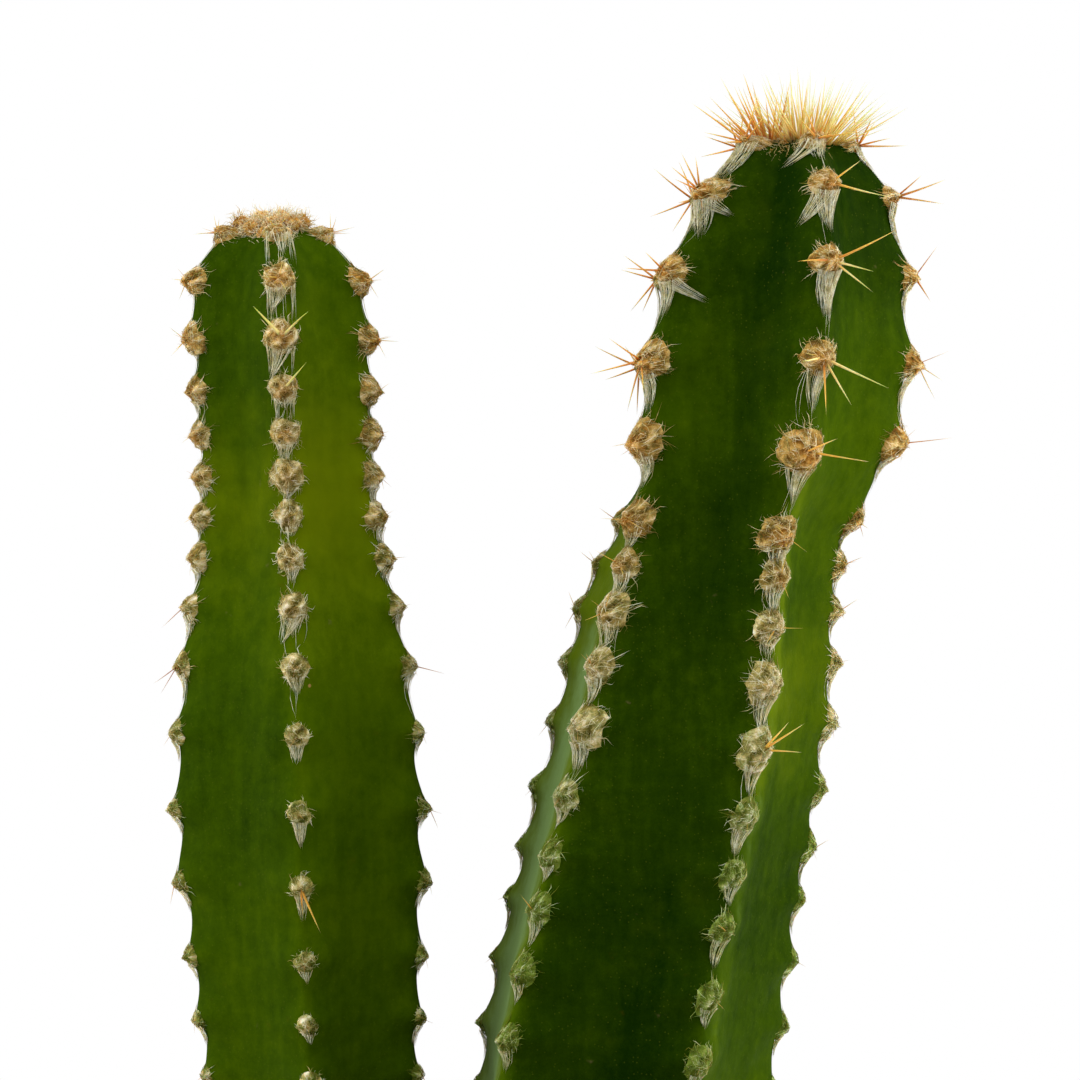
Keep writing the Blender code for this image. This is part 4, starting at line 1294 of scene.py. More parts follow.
    def fluff(self, chosen: Array) -> Surface:
        """The loose hairs of each chosen pad: a short brush in the middle, a pale curly fringe round it."""
        counts = (0.45 * self.by_height(self.habit.fluff)[chosen]).astype(int)
        owner = np.repeat(np.flatnonzero(chosen), counts)
        number, chance, radius = len(owner), self.chance, self.areole_radius[owner]
        middle = chance.uniform(0, 1, number) < 0.25
        fall = np.where(middle, chance.uniform(0, 0.6, number), chance.uniform(0.3, 1.65, number))
        turn = chance.uniform(0, 2 * math.pi, number)
        flat = np.sin(fall)
        over = self.habit.rise * radius * np.maximum(np.cos(fall), 0) - 0.05
        root = [0.88 * radius * flat * np.cos(turn), 0.92 * radius * flat * np.sin(turn), over]
        root = np.stack(root, axis=-1)
        veer = turn + chance.normal(0, 0.75, number)
        lift = np.where(middle, 0.8, 0.42) * np.maximum(np.cos(fall), 0) + np.where(middle, 0.2, 0.16)
        spread = np.where(middle, 0.45, 1.0)
        away = unit(np.stack([spread * np.cos(veer), spread * np.sin(veer), lift + 0.12], axis=-1))
        length = np.where(middle, chance.uniform(0.12, 0.28, number), chance.uniform(0.08, 0.26, number))
        length = radius * length
        path = self.curls(root, away, length, chance.uniform(0.15, 0.55, number), 3)
        path[..., 2] = np.maximum(path[..., 2], 0.06)
        thick = chance.uniform(0.012, 0.026, number)[:, None] * np.array([1.0, 0.85, 0.0])
        tone = np.where(middle, 0.6, 0.74 + self.white[owner]) + chance.normal(0, 0.17, number)
        rust = self.rust[owner] * np.where(middle, 1.0, 0.4)
        moss = self.moss[owner] + chance.normal(0, 0.25, number)
        notes = wool_notes(tone[:, None] + np.linspace(-0.08, 0.1, 3), rust[:, None], moss[:, None])
        return fibres(self.settled(owner, path), thick, notes)

    def lock(self, owner: Array, side: Array, across: Array, down: Array, gather: Array) -> Surface:
        """Pale strands that leave the lower side of their areoles and come down from the pad to the skin.

        Args:
            owner: the areole of each strand.
            side: how far across the pad it starts.
            across: how far across its way leads.
            down: how far down its way leads.
            gather: the share of the side distance that it loses, 1 where all draw together to a tip.

        Returns:
            One surface of all the strands.
        """
        chance, one = self.chance, (len(owner), 1)
        radius, tallness = self.areole_radius[owner][:, None], self.tallness[owner][:, None]
        t = np.linspace(0, 1, 4)[None, :]
        share = chance.uniform(0.72, 1.05, one) * t
        wave = 0.12 * np.sin(5 * t + chance.uniform(0, 6.3, one)) * t
        start = np.clip(side[:, None], -0.95 * radius, 0.95 * radius)
        x = start * (1 - gather[:, None] * np.minimum(share, 1)) + across[:, None] * share**1.3 + wave
        y = -0.55 * radius * tallness * np.sqrt(1 - (start / radius) ** 2) - down[:, None] * share
        lift = 0.34 * radius * (1 - t) ** 2 + chance.uniform(0.03, 0.3, one)
        thick = chance.uniform(0.024, 0.042, one) * np.array([1.0, 1.0, 0.85, 0.0])
        tone = chance.normal(0.86, 0.08, one) + 0 * t
        notes = wool_notes(tone, 0.0, self.by_height(self.habit.moss)[owner][:, None] * 0.45)
        return fibres(self.settled(owner, np.stack([x, y, lift], axis=-1)), thick, notes)

    def beards(self, chosen: Array) -> Surface:
        """The tail of each chosen areole: strands from all its lower rim that draw together below it."""
        chance = self.chance
        areoles = np.flatnonzero(chosen)
        beard = self.by_height(self.habit.beard)[areoles] * chance.uniform(0.6, 1.2, len(areoles))
        counts = np.maximum((beard * 7).astype(int), 8)
        owner = np.repeat(areoles, counts)
        side = chance.uniform(-0.7, 0.7, len(owner)) * self.areole_radius[owner]
        sway = np.repeat(chance.normal(0, 0.4, len(areoles)), counts)
        return self.lock(owner, side, sway, np.repeat(beard, counts), chance.uniform(0.6, 0.95, len(owner)))

    def arches(self, chosen: Array) -> Surface:
        """Two locks from each chosen areole to the upper corners of the next, with a gap between them."""
        chance = self.chance
        areoles = np.repeat(np.flatnonzero(chosen), 2)
        drop = self.form.place_of_level(self.level + 2.0, self.rib) - self.along
        counts = chance.integers(4, 9, len(areoles))
        owner = np.repeat(areoles, counts)
        hand = np.where(np.arange(len(areoles)) % 2, 1.0, -1.0)
        side = np.repeat(hand * chance.uniform(0.5, 0.8, len(areoles)), counts)
        side = side + chance.normal(0, 0.1, len(owner))
        radius = self.areole_radius[owner]
        gather = chance.uniform(0.0, 0.4, len(owner))
        return self.lock(owner, side * radius, 0 * radius, drop[owner] - 0.9 * radius, gather)

    def sweeps(self) -> Surface:
        """The locks that some areoles throw to the side."""
        found = self.habit.sweeps
        counts = [sweep.strands for sweep in found]
        owner = np.repeat([self.which(sweep.rib, sweep.level) for sweep in found], counts)
        across = np.repeat([sweep.across for sweep in found], counts)
        down = np.repeat([sweep.down for sweep in found], counts)
        side = self.chance.uniform(-0.5, 0.8, len(owner)) * self.areole_radius[owner] * np.sign(across)
        return self.lock(owner, side, across, down, self.chance.uniform(0.75, 1.0, len(owner)))

    def cobweb(self, chosen: Array) -> Surface:
        """Fine strands along each crest, from a chosen areole to the next, lifted a little off the skin."""
        owner = np.repeat(np.flatnonzero(chosen), 3)
        chance, one = self.chance, (len(owner), 1)
        t = np.linspace(0, 1, 6)[None, :]
        rib = self.rib[owner][:, None]
        level = self.level[owner][:, None] + 1 + t * chance.uniform(0.6, 1.0, one)
        bow = chance.normal(0, 0.03, one) * np.sin(math.pi * t)
        angle = rib * RIB_STEP + bow + chance.normal(0, 0.035, one)
        frames = self.form.stations(self.form.place_of_level(level, rib).ravel(), angle.ravel())
        lift = 0.1 + 0.16 * np.sin(math.pi * t) * chance.uniform(0, 1, one)
        paths = (frames.point + frames.out * lift.ravel()[:, None]).reshape(-1, 6, 3)
        thick = chance.uniform(0.018, 0.03, one) * np.array([1.0, 1, 1, 1, 0.7, 0])
        return fibres(paths, thick, wool_notes(np.full(thick.shape, 0.92), 0.0, 0.0))

    def tip_wool(self) -> Surface:
        """The wool over the growing tip: a low dome of curled hairs on a felted core, and its clumps."""
        radius = 1.15 * self.plan.tip_pad_radius
        top = self.form.skin(0.0, 0.0)
        chance, number = self.chance, self.crown_hairs
        reach = np.sqrt((np.arange(number) + 0.5) / number)
        flat = circles(1.0, np.arange(number) * GOLDEN_TURN, 0.0)
        dome = np.sqrt(np.maximum(1 - reach**2, 0))
        root = top + flat * (reach * radius * 0.95)[:, None]
        clumps = ripple(root, 2.2, self.plan.seed + 9, 12)[:, None]
        root[:, 2] += 1.3 * dome - 0.4 + 0.35 * clumps[:, 0]
        away = unit(flat * reach[:, None] + np.array([0, 0, 0.5]) + chance.normal(0, 0.5, (number, 3)))
        length = chance.uniform(0.5, 1.5, number)
        hair = self.curls(root, away, length, chance.uniform(0.2, 0.45, number))
        thick = chance.uniform(0.03, 0.055, (number, 1)) * np.array([1.0, 0.95, 0.7, 0.0])
        # Lighter where the clumps stand higher: painted light.
        tone = chance.normal(0.6, 0.12, (number, 1)) + 0.22 * clumps + np.linspace(-0.1, 0.12, 4)
        hairs = fibres(hair, thick, wool_notes(tone, 0.6, 0.0))
        falls = np.radians([20, 45, 70, 90, 110])[:, None]
        rings = top + circles(radius * 0.95 * np.sin(falls), -full_turn(20), 1.1 * np.cos(falls))
        rings += 0.25 * ripple(rings, 2.0, 8)[..., None] * np.array([0.4, 0.4, 1.0])
        # The core darker than the hairs on it: painted shade.
        notes = wool_notes(np.full(rings.shape[:2], 0.3), 0.6, 0.0)
        core = closed_tube(rings, top + np.array([0, 0, 1.1]), top - np.array([0, 0, 1.5]), notes)
        balls = [self.clump(top + np.array(ball[:3]), *ball[3:]) for ball in self.habit.clumps]
        return Surface.joined([core, hairs, *balls])

    def clump(self, centre: Array, radius: float, tone: float) -> Surface:
        """A ball of wool: a lumpy felted core, and curled hairs all over it that lean outward."""
        chance, number = self.chance, self.clump_hairs
        rise = 1 - 2 * (np.arange(number) + 0.5) / number
        out = circles(np.sqrt(1 - rise**2), np.arange(number) * GOLDEN_TURN, rise)
        away = unit(out + chance.normal(0, 0.6, (number, 3)))
        start, length = centre + 0.75 * radius * out, chance.uniform(0.5, 1.6, number)
        hair = self.curls(start, away, length, chance.uniform(0.15, 0.5, number), 3)
        thick = chance.uniform(0.02, 0.045, (number, 1)) * np.array([1.0, 0.9, 0.0])
        tones = tone + chance.normal(0.06, 0.13, (number, 1)) + np.array([-0.08, 0.05, 0.14])
        hairs = fibres(hair, thick, wool_notes(tones, 0.55, 0.0))
        falls = np.radians([22, 50, 78, 106, 134, 160])[:, None]
        way = circles(np.sin(falls), -full_turn(16), np.cos(falls))
        rings = centre + 0.78 * radius * way
        lumps = ripple(rings, 1.1, self.plan.seed + 3)
        rings = rings + 0.12 * radius * lumps[..., None] * way
        up = np.array([0, 0, 0.8 * radius])
        # The core darker than its hairs and lighter on its lumps: painted shade and light.
        notes = {"tone": tone - 0.3 + 0.25 * lumps, "rust": 0 * lumps + 0.8, "moss": 0 * lumps}
        return Surface.joined([closed_tube(rings, centre + up, centre - up, notes), hairs])

    def main_spines(self) -> SpineSet:
        """The spines that the stem's solid also has, by the same draws, but for areoles with lone spines."""
        plan, draw = self.plan, random.Random(self.plan.seed)
        top = self.form.skin(0.0, 0.0)
        found = []
        listed = {(spine.rib, spine.level) for spine in self.habit.lone_spines}
        for number in range(plan.tip_spines):
            turn = number * GOLDEN_TURN
            lean = math.radians(12 + 48 * number / plan.tip_spines)
            level = np.array([math.sin(turn), math.cos(turn), 0.0])
            root = top + level * math.sin(lean) * plan.tip_pad_radius * 0.7
            way = level * math.sin(lean) + np.array([0, 0, math.cos(lean)])
            found.append((root, way, plan.tip_spine_length * draw.uniform(0.85, 1.1), 0.2, 0.3, 0.7))
        frames = self.areoles
        for i, (rib, level) in enumerate(zip(self.rib, self.level)):
            draw.uniform(0.92, 1.08)
            draw.uniform(0, 2 * math.pi)
            number, zone = next((n, z) for n, z in enumerate(plan.zones) if level < z.down_to_level)
            if (level + rib) % zone.one_in:
                continue
            start = draw.uniform(0, 2 * math.pi)
            for spine in range(zone.count):
                turn = start + 2 * math.pi * spine / zone.count + draw.uniform(-0.3, 0.3)
                lean = math.radians(zone.lean_degrees + draw.uniform(-12, 12))
                flat = frames.across[i] * math.cos(turn) + frames.up[i] * math.sin(turn)
                root = frames.point[i] + frames.out[i] * 0.5
                way = frames.out[i] * math.cos(lean) + flat * math.sin(lean)
                length = zone.length * draw.uniform(0.8, 1.15)
                if (rib, level) not in listed:
                    found.append((root, way, length, *self.habit.zone_looks[number]))
        return tuple(np.array(column) for column in zip(*found))

    def bristles(self) -> SpineSet:
        """The thin spines between the main ones, which point down on the older areoles."""
        found = []
        start = 0
        for down_to, count, length, thick in self.habit.bristles:
            owner = np.repeat(np.flatnonzero((self.level >= start) & (self.level < down_to)), count)
            frames, number = self.areoles[owner], len(owner)
            turn = self.chance.uniform(0, 2 * math.pi, number)
            lean = np.radians(self.chance.uniform(25, 82, number))
            up = np.sin(turn) * np.sin(lean)
            if start >= self.old_level:
                up = -np.abs(up)
            way = unit(frames.lean(np.cos(lean), up, np.cos(turn) * np.sin(lean)))
            lengths = length * self.chance.uniform(0.5, 1.35, number) + 0.5 * self.areole_radius[owner]
            root = frames.point + frames.out * 0.3
            base = self.chance.uniform(0.0, 0.35, number)
            found.append((root, way, lengths, np.full(number, thick), base, base + 0.4))
            start = down_to
        return tuple(np.concatenate(column) for column in zip(*found))

    def lone_spines(self) -> SpineSet:
        """The spines that stand out one by one."""
        found, frames = [], self.areoles
        for spine in self.habit.lone_spines:
            i = self.which(spine.rib, spine.level)
            way = frames.out[i] * spine.out + frames.up[i] * spine.up + frames.across[i] * spine.across
            root = frames.point[i] + frames.out[i] * 0.4
            found.append((root, way, spine.length, spine.radius, spine.root_tone, spine.tip_tone))
        return tuple(np.array(column) for column in zip(*found))

    def brush(
        self, shift: tuple, count: int, spread: float, length: float, leans: tuple, thick: float,
        tones: tuple,
    ) -> SpineSet:
        """Needles on the growing tip, fanned from upright in the middle to wide at the rim.

        Args:
            shift: (X, Y, Z) from the tip to the middle of their roots.
            count: how many there are.
            spread: how far out the outermost root is.
            length: their mean length.
            leans: how far the whole brush leans along X, and how far the outermost needles lean, in degrees.
            thick: their root radius.
            tones: their mean tone at the root and at the tip.

        Returns:
            The needles, as a spine set.
        """
        chance = self.chance
        turn = np.arange(count) * GOLDEN_TURN + chance.normal(0, 0.3, count)
        reach = np.sqrt((np.arange(count) + 0.5) / count)
        lean = np.radians(leans[1] * reach + chance.normal(0, 7, count))
        flat = circles(1.0, turn, 0.0)
        upright = np.array([math.tan(math.radians(leans[0])), 0, 1.0])
        way = unit(flat * np.sin(lean)[:, None] + upright * np.cos(lean)[:, None])
        lengths = length * chance.uniform(0.6, 1.2, count)
        root = self.form.skin(0.0, 0.0) + shift + flat * (reach * spread)[:, None] + np.array([0, 0, 0.3])
        thicks = thick * chance.uniform(0.75, 1.2, count)
        return root, way, lengths, thicks, *(chance.normal(tone, 0.08, count) for tone in tones)

    def tuft(self) -> list[SpineSet]:
        """The short brown brush on the growing tip."""
        radius = self.plan.tip_pad_radius
        return [self.brush((0, 0, 0), 30, radius * 1.1, 1.9, (0, 72), 0.07, (0.25, 0.6))]

    def needles(self, spines: SpineSet) -> Surface:
        """Spines as tapered needles, each bent a little by the square of the way along it."""
        root, way, length, thick, base, tip = spines
        t, way = np.linspace(0, 1, 6), unit(way)
        sideways = unit(np.cross(way, self.chance.normal(size=way.shape)))
        bend = self.chance.normal(0, 0.05, len(way)) * length
        paths = root[:, None] + way[:, None] * (length[:, None] * t)[..., None]
        paths = paths + sideways[:, None] * (bend[:, None] * t**2)[..., None]
        radius = thick[:, None] * np.array([1.0, 0.92, 0.76, 0.55, 0.3, 0.0])
        tone = np.clip(base[:, None] + (tip - base)[:, None] * t, 0, 1)
        return fibres(paths, radius, {"tone": tone})

    def spine_surface(self) -> Surface:
        """All the stem's spines: the solid's own, the finer ones, the lone ones and the tip's brush."""
        parts = [self.main_spines(), self.bristles(), self.lone_spines(), *self.tuft()]
        return self.needles(tuple(np.concatenate(column) for column in zip(*parts)))

    def dress(self) -> None:
        """Builds every piece of the stem and lets it ride on the part's one body."""
        skin = self.skin_surface()
        made = skin.to_object(f"{self.plan.name}_skin", self.finishes["skin"])
        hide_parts(self.plan.name)
        report(made, skin)
        for pool in Pool:
            first, last = pool.value
            chosen = (self.level >= first) & (self.level < last)
            parts = [self.wool_cores(chosen), self.felt(chosen), self.fluff(chosen), self.beards(chosen)]
            if pool is not Pool.SHANK:
                parts.append(self.cobweb(chosen))
            if pool is Pool.CROWN:
                parts += [self.sweeps(), self.tip_wool()]
            if pool is Pool.CROWN and self.habit.arch_levels:
                parts.append(self.arches((self.level < self.habit.arch_levels) & (self.rib == 0)))
            wool = Surface.joined(parts)
            made = wool.to_object(f"{self.plan.name}_wool_{pool.name.lower()}", self.finishes["wool"])
            report(made, wool)
        spines = self.spine_surface()
        made = spines.to_object(f"{self.plan.name}_spines", self.finishes["spine"])
        report(made, spines)


class ShortColumn(Column):
    """The short stem, whose front rib faces the observer."""


class TallColumn(Column):
    """The tall stem: bloomed along one rib's flank and on its far left face, with a golden brush on top."""

    def bloom(self, angle: Array, height: Array) -> Array:
        """A waxy strip down the first rib's right flank, the far left face, and low on the first face."""
        below_pinch = np.clip((124 - height) / 18, 0, 1)
        flank = bell(apart(angle, math.radians(8)), math.radians(8))
        strip = 0.34 * flank * below_pinch * np.clip((height - 20) / 60, 0.4, 1)
        away = apart(angle, -1.5 * RIB_STEP)
        face = np.clip(1.3 - np.abs(away) / (RIB_STEP * 0.45), 0, 1) * below_pinch
        face = face * (0.72 + 0.28 * np.clip((115 - height) / 30, 0, 1))
        low = 0.22 * np.clip((90 - height) / 50, 0, 1) * bell(apart(angle, 0.5 * RIB_STEP), 0.6)
        return np.clip(strip + face + low, 0, 1)

    def tuft(self) -> list[SpineSet]:
        """The golden brush on the growing tip, with a coarser orange one on its left side."""
        return [
            self.brush((1.6, 0.0, 0.0), 170, 4.6, 8.6, (5, 60), 0.1, (0.55, 0.9)),
            self.brush((2.6, -0.6, 0.0), 34, 3.6, 8.8, (8, 56), 0.2, (0.35, 0.78)),
            self.brush((-3.6, -2.0, -0.4), 26, 1.6, 9.0, (-24, 46), 0.21, (0.12, 0.6)),
        ]


def report(piece: bpy.types.Object, surface: Surface) -> None:
    """Lets a piece ride on the part's body, and logs it."""
    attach(piece, "root")
    log.info("%s: %d triangles", piece.name, surface.triangles)


@dataclass
class ClayPot:
    """The pot: a thrown wall with a rim band, worked out as a profile turned round Z."""

    finish: Material
    height: float = 112.0
    rim_radius: float = 65.0
    foot_radius: float = 43.0
    wall: float = 5.0
    mouth_radius: float = 59.0
    floor: float = 7.0
    band_height: float = 25.0
    band_step: float = 3.5
    band_flare: float = 1.2
    drain_radius: float = 7.0
    edge: float = 1.8
    turns: int = 160

    @property
    def band_foot(self) -> float:
        """The height of the rim band's lower edge."""
        return self.height - self.band_height

    def outer(self, height: float) -> float:
        """The outer wall's radius at a height, under the rim band."""
        flare = self.rim_radius - self.band_step - self.foot_radius
        return self.foot_radius + flare * height / self.height

    def corners(self) -> list[tuple[float, float, float]]:
        """(radius, height, rounding) of each corner of the section, up the outside and down the inside."""
        band = self.rim_radius - self.band_flare
        return [
            (self.drain_radius, 0.0, 0.8),
            (self.foot_radius, 0.0, 1.6),
            (self.outer(self.band_foot), self.band_foot, 0.7),
            (band, self.band_foot, self.edge),
            (self.rim_radius, self.height, self.edge),
            (self.mouth_radius, self.height, self.edge),
            (self.outer(self.band_foot) - self.wall, self.band_foot - 2.0, 6.0),
            (self.outer(self.floor) - self.wall, self.floor, 4.0),
            (self.drain_radius, self.floor, 0.8),
        ]

    def profile(self) -> Array:
        """The closed section: each corner cut by a quadratic curve, and straight runs split every 3 mm."""
        corners = np.array(self.corners())
        points, rounding = corners[:, :2], corners[:, 2]
        before, after = np.roll(points, 1, axis=0), np.roll(points, -1, axis=0)
        start = points + unit(before - points) * rounding[:, None]
        end = points + unit(after - points) * rounding[:, None]
        t = np.linspace(0, 1, 7)[None, :, None]
        arcs = start[:, None] * (1 - t) ** 2 + 2 * points[:, None] * t * (1 - t) + end[:, None] * t**2
        runs = []
        for arc, following in zip(arcs, np.roll(arcs, -1, axis=0)):
            gap = np.linalg.norm(following[0] - arc[-1])
            share = np.linspace(0, 1, max(round(gap / 3.0), 1) + 1)[1:-1, None]
            runs += [arc, arc[-1] + (following[0] - arc[-1]) * share]
        return np.concatenate(runs)

    def surface(self) -> Surface:
        """The section turned round Z, with shallow throwing lines and a slight wobble on the wall."""
        profile, turn = self.profile(), full_turn(self.turns)
        radius, height = profile[:, :1], profile[:, 1:] + 0 * turn
        lines = 0.05 * np.sin(height * 2 * math.pi / 9.0 + 0.6 * np.sin(turn)) * (height > 3)
        wobble = -0.1 * (1 - np.sin(2 * turn + 0.4)) * (radius > 2 * self.drain_radius)
        points = circles(radius + lines + wobble, turn, height)
        return Surface(points.reshape(-1, 3), grid_quads(*points.shape[:2], ring=True))

    def inner(self, height: float) -> float:
        """The inner wall's radius at a height."""
        low = self.outer(self.floor) - self.wall
        middle = self.outer(self.band_foot) - self.wall
        heights = (self.floor, self.band_foot - 2.0, self.height - self.edge)
        return float(np.interp(height, heights, (low, middle, self.mouth_radius)))

    def dress(self) -> None:
        """Builds the pot in place of its solid."""
        surface = self.surface()
        made = surface.to_object("clay_pot", self.finish)
        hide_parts("pot")
        report(made, surface)


@dataclass
class PottingMix:
    """The mix that fills the pot: a plug with a crumbly top, and loose crumbs, bark and perlite on it."""

    pot: ClayPot
    stems: Sequence[StemForm]
    finish: Material
    gap: float = 0.3
    rings: int = 84
    turns: int = 180
    crumbs: int = 1900

    def stem_closeness(self, places: Array) -> Array:
        """From 0 far off to 1 at a stem's skin, where the mix is heaped up."""
        closest = np.full(places.shape[:-1], 1e9)
        for form in self.stems:
            root = form.at_height(0.0)
            centre = np.array([form.at(root, form.x), form.at(root, form.y)])
            away = np.linalg.norm(places[..., :2] - centre, axis=-1) - form.at(root, form.radius)
            closest = np.minimum(closest, away)
        return bell(np.maximum(closest, 0), 5.0)

    def top_height(self, places: Array) -> Array:
        """The crumbly top: long swells plus crumbs as ripples of 7, 2.6 and 1.1 mm, heaped at the stems."""
        flat = places * np.array([1.0, 1.0, 0.0])
        height = SOIL_LEVEL - 0.9
        for depth, wavelength, seed in ((0.8, 30.0, 3), (0.55, 7.0, 4), (0.35, 2.6, 5), (0.2, 1.1, 6)):
            height = height + depth * ripple(flat, wavelength, seed)
        return height + 1.3 * self.stem_closeness(places)

    def plug(self) -> Surface:
        """The mix as one closed body: the crumbly top, the side along the wall, and the flat underside."""
        turn = -full_turn(self.turns)
        edge = self.pot.inner(SOIL_LEVEL - 2.5) - self.gap
        top = circles(edge * np.linspace(0.012, 1, self.rings)[:, None], turn, 0.0)
        top[..., 2] = self.top_height(top)
        down = np.linspace(SOIL_LEVEL - 3.5, self.pot.floor + self.gap, 12)
        side = [circles(self.pot.inner(height) - self.gap, turn, height) for height in down]
        rings = np.concatenate([top, side])
        peak = np.array([0, 0, top[0, :, 2].mean()])
        base = np.array([0, 0, self.pot.floor + self.gap])
        return closed_tube(rings, peak, base, {"tone": 0 * rings[..., 0]})

    def loose(self) -> Surface:
        """Crumbs, bark and perlite: stretched, jittered icosahedra, half sunk in the top."""
        chance = np.random.default_rng(7)
        phi = (1 + math.sqrt(5)) / 2
        corner = np.array(
            [(-1, phi, 0), (1, phi, 0), (-1, -phi, 0), (1, -phi, 0), (0, -1, phi), (0, 1, phi)]
            + [(0, -1, -phi), (0, 1, -phi), (phi, 0, -1), (phi, 0, 1), (-phi, 0, -1), (-phi, 0, 1)]
        ) / math.hypot(1, phi)
        sides = np.array(
            [(0, 11, 5), (0, 5, 1), (0, 1, 7), (0, 7, 10), (0, 10, 11), (1, 5, 9), (5, 11, 4), (11, 10, 2)]
            + [(10, 7, 6), (7, 1, 8), (3, 9, 4), (3, 4, 2), (3, 2, 6), (3, 6, 8), (3, 8, 9), (4, 9, 5)]
            + [(2, 4, 11), (6, 2, 10), (8, 6, 7), (9, 8, 1)]
        )
        reach = (self.pot.inner(SOIL_LEVEL) - 2.2) * np.sqrt(chance.uniform(0, 1, self.crumbs))
        centre = circles(reach, chance.uniform(0, 2 * math.pi, self.crumbs), 0.0)
        centre = centre[self.stem_closeness(centre) < 0.97]
        number = len(centre)
        centre[:, 2] = self.top_height(centre)
        kind = chance.uniform(0, 1, number)
        tone = np.where(kind < 0.62, 0.1, np.where(kind < 0.86, 0.5, 1.0))
        size = np.where(tone == 0.5, 1.1, np.where(tone == 1.0, 0.95, 0.75))
        size = size * chance.lognormal(0, 0.35, number)
        stretch = chance.uniform(0.55, 1.0, (number, 1, 3))
        stretch[tone == 0.5] *= np.array([1.7, 0.7, 0.45])
        jitter = 1 + chance.uniform(-0.2, 0.2, (number, 12, 1))
        basis = np.linalg.qr(chance.normal(size=(number, 3, 3)))[0]
        basis *= np.sign(np.linalg.det(basis))[:, None, None]
        grains = (corner * stretch * jitter * size[:, None, None]) @ basis
        points = centre[:, None] + grains
        tris = sides[None] + 12 * np.arange(number)[:, None, None]
        return Surface(points.reshape(-1, 3), tris=tris.reshape(-1, 3), notes={"tone": np.repeat(tone, 12)})

    def dress(self) -> None:
        """Builds the plug in place of its solid, and the loose grains on it."""
        plug = self.plug()
        made = plug.to_object("potting_mix", self.finish)
        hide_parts("soil")
        report(made, plug)
        loose = self.loose()
        made = loose.to_object("loose_crumbs", self.finish, smooth=False)
        report(made, loose)


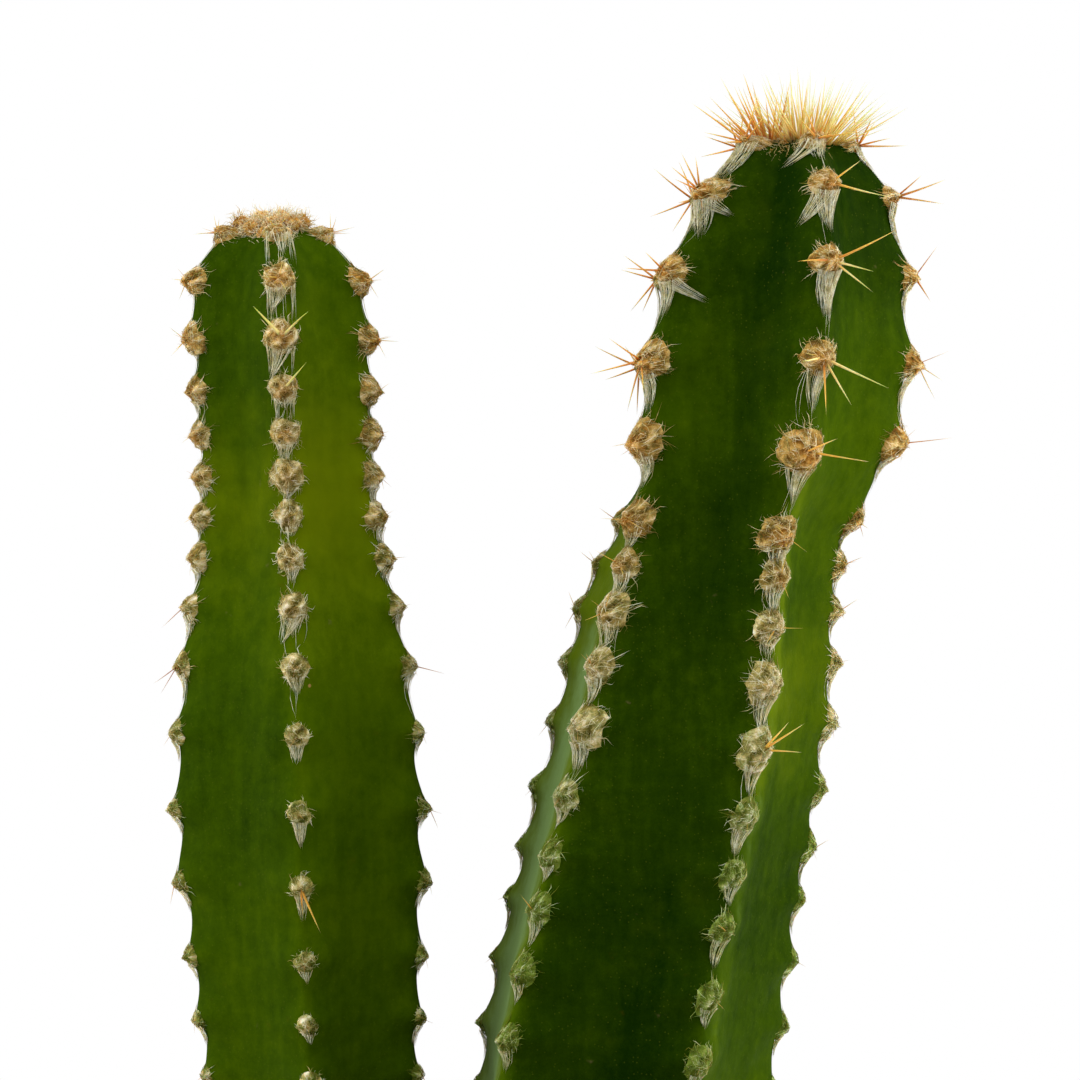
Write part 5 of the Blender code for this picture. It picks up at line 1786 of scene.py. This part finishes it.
@dataclass
class Studio:
    """A pale floor, soft lights and a level camera at the height of the stems' upper halves."""

    picture_width: float = 0.1404
    picture_centre: tuple[float, float] = (0.0104, 0.2235)
    distance: float = 0.65
    floor_radius: float = 1.2

    def camera(self) -> None:
        """A long lens from the front, framed by the picture's width at the stems."""
        lens = bpy.data.cameras.new("camera")
        lens.sensor_width = 36.0
        lens.lens = lens.sensor_width * self.distance / self.picture_width
        lens.clip_start = 0.01
        made = bpy.data.objects.new("camera", lens)
        across, up = self.picture_centre
        made.location = (across, -self.distance, up)
        made.rotation_euler = (math.radians(90), 0, 0)
        bpy.context.scene.collection.objects.link(made)
        bpy.context.scene.camera = made

    def light(self, name: str, place: Colour, aim: Colour, size: tuple[float, float], watts: float) -> None:
        """One soft rectangular light that faces its aim."""
        lamp = bpy.data.lights.new(name, "AREA")
        lamp.shape = "RECTANGLE"
        lamp.size, lamp.size_y = size
        lamp.energy = watts
        made = bpy.data.objects.new(name, lamp)
        made.location = place
        facing = np.array(aim) - np.array(place)
        flat = math.hypot(facing[0], facing[1])
        made.rotation_euler = (math.atan2(flat, -facing[2]), 0, math.atan2(-facing[0], facing[1]))
        bpy.context.scene.collection.objects.link(made)

    def lights(self) -> None:
        """Broad soft boxes left and right of the stems, and a weaker one above."""
        aim = (0.01, 0.0, 0.22)
        self.light("left_box", (-0.75, -0.05, 0.34), aim, (0.5, 0.8), 5.5)
        self.light("right_box", (0.78, -0.05, 0.34), aim, (0.5, 0.8), 7.0)
        self.light("top_box", (0.02, -0.25, 0.95), aim, (0.6, 0.6), 5.0)

    def world(self) -> None:
        """White behind everything, and a dimmer white for the light that it gives."""
        world = bpy.data.worlds.new("white_studio")
        world.use_nodes = True
        graph = Graph(world.node_tree)
        seen = graph.node("ShaderNodeLightPath").outputs["Is Camera Ray"]
        strength = graph.between(seen, 0.0, 1.0, (0.5, 1.0))
        background = world.node_tree.nodes["Background"]
        background.inputs["Color"].default_value = (1, 1, 1, 1)
        graph.feed(background, {"Strength": strength})
        bpy.context.scene.world = world
        bpy.context.scene.view_settings.view_transform = "Standard"

    def floor(self) -> None:
        """A round pale floor that, as the camera sees it, fades to the background's white far off."""
        radius = self.floor_radius / MM * np.linspace(0.01, 1, 24)[:, None]
        height = -0.2 - 12 * np.clip((radius / radius.max() - 0.9) * 10, 0, 1) ** 2
        rings = circles(radius, -full_turn(96), height)
        centre = np.array([0, 0, -0.2])
        surface = closed_tube(rings, centre, centre - np.array([0, 0, 30.0]), {})
        constants = {"Roughness": 0.6, "Specular IOR Level": 0.2, "Emission Strength": 1.0}
        made, graph, shader = Finish.start("pale_floor", constants)
        colour = graph.blend(graph.grain(60.0, 2.0), (0.86, 0.86, 0.855), (0.9, 0.9, 0.895))
        seen = graph.node("ShaderNodeLightPath").outputs["Is Camera Ray"]
        away = graph.node("ShaderNodeVectorMath", {0: graph.place()}, operation="LENGTH").outputs["Value"]
        away = graph.times(seen, graph.between(away, 0.15, 0.6))
        glow = graph.blend(away, (0.0, 0.0, 0.0), (0.9, 0.9, 0.9))
        graph.feed(shader, {"Base Color": colour, "Emission Color": glow})
        surface.to_object("floor", made)

    def set_up(self) -> None:
        """Places the camera, the lights, the world and the floor."""
        self.camera()
        self.lights()
        self.world()
        self.floor()


def main() -> None:
    """Dresses the pot, the potting mix and both stems, and sets up the studio."""
    logging.basicConfig(level=logging.INFO, format="%(message)s")
    finishes = {
        "skin": GreenSkin().material(),
        "wool": PlantWool().material(),
        "spine": GoldenSpine().material(),
    }
    columns = [ShortColumn(SHORT_PLAN, SHORT_HABIT, finishes), TallColumn(TALL_PLAN, TALL_HABIT, finishes)]
    pot = ClayPot(FiredClay().material())
    pot.dress()
    PottingMix(pot, [column.form for column in columns], Loam().material()).dress()
    for column in columns:
        column.dress()
    Studio().set_up()


if __name__ == "__main__":
    main()
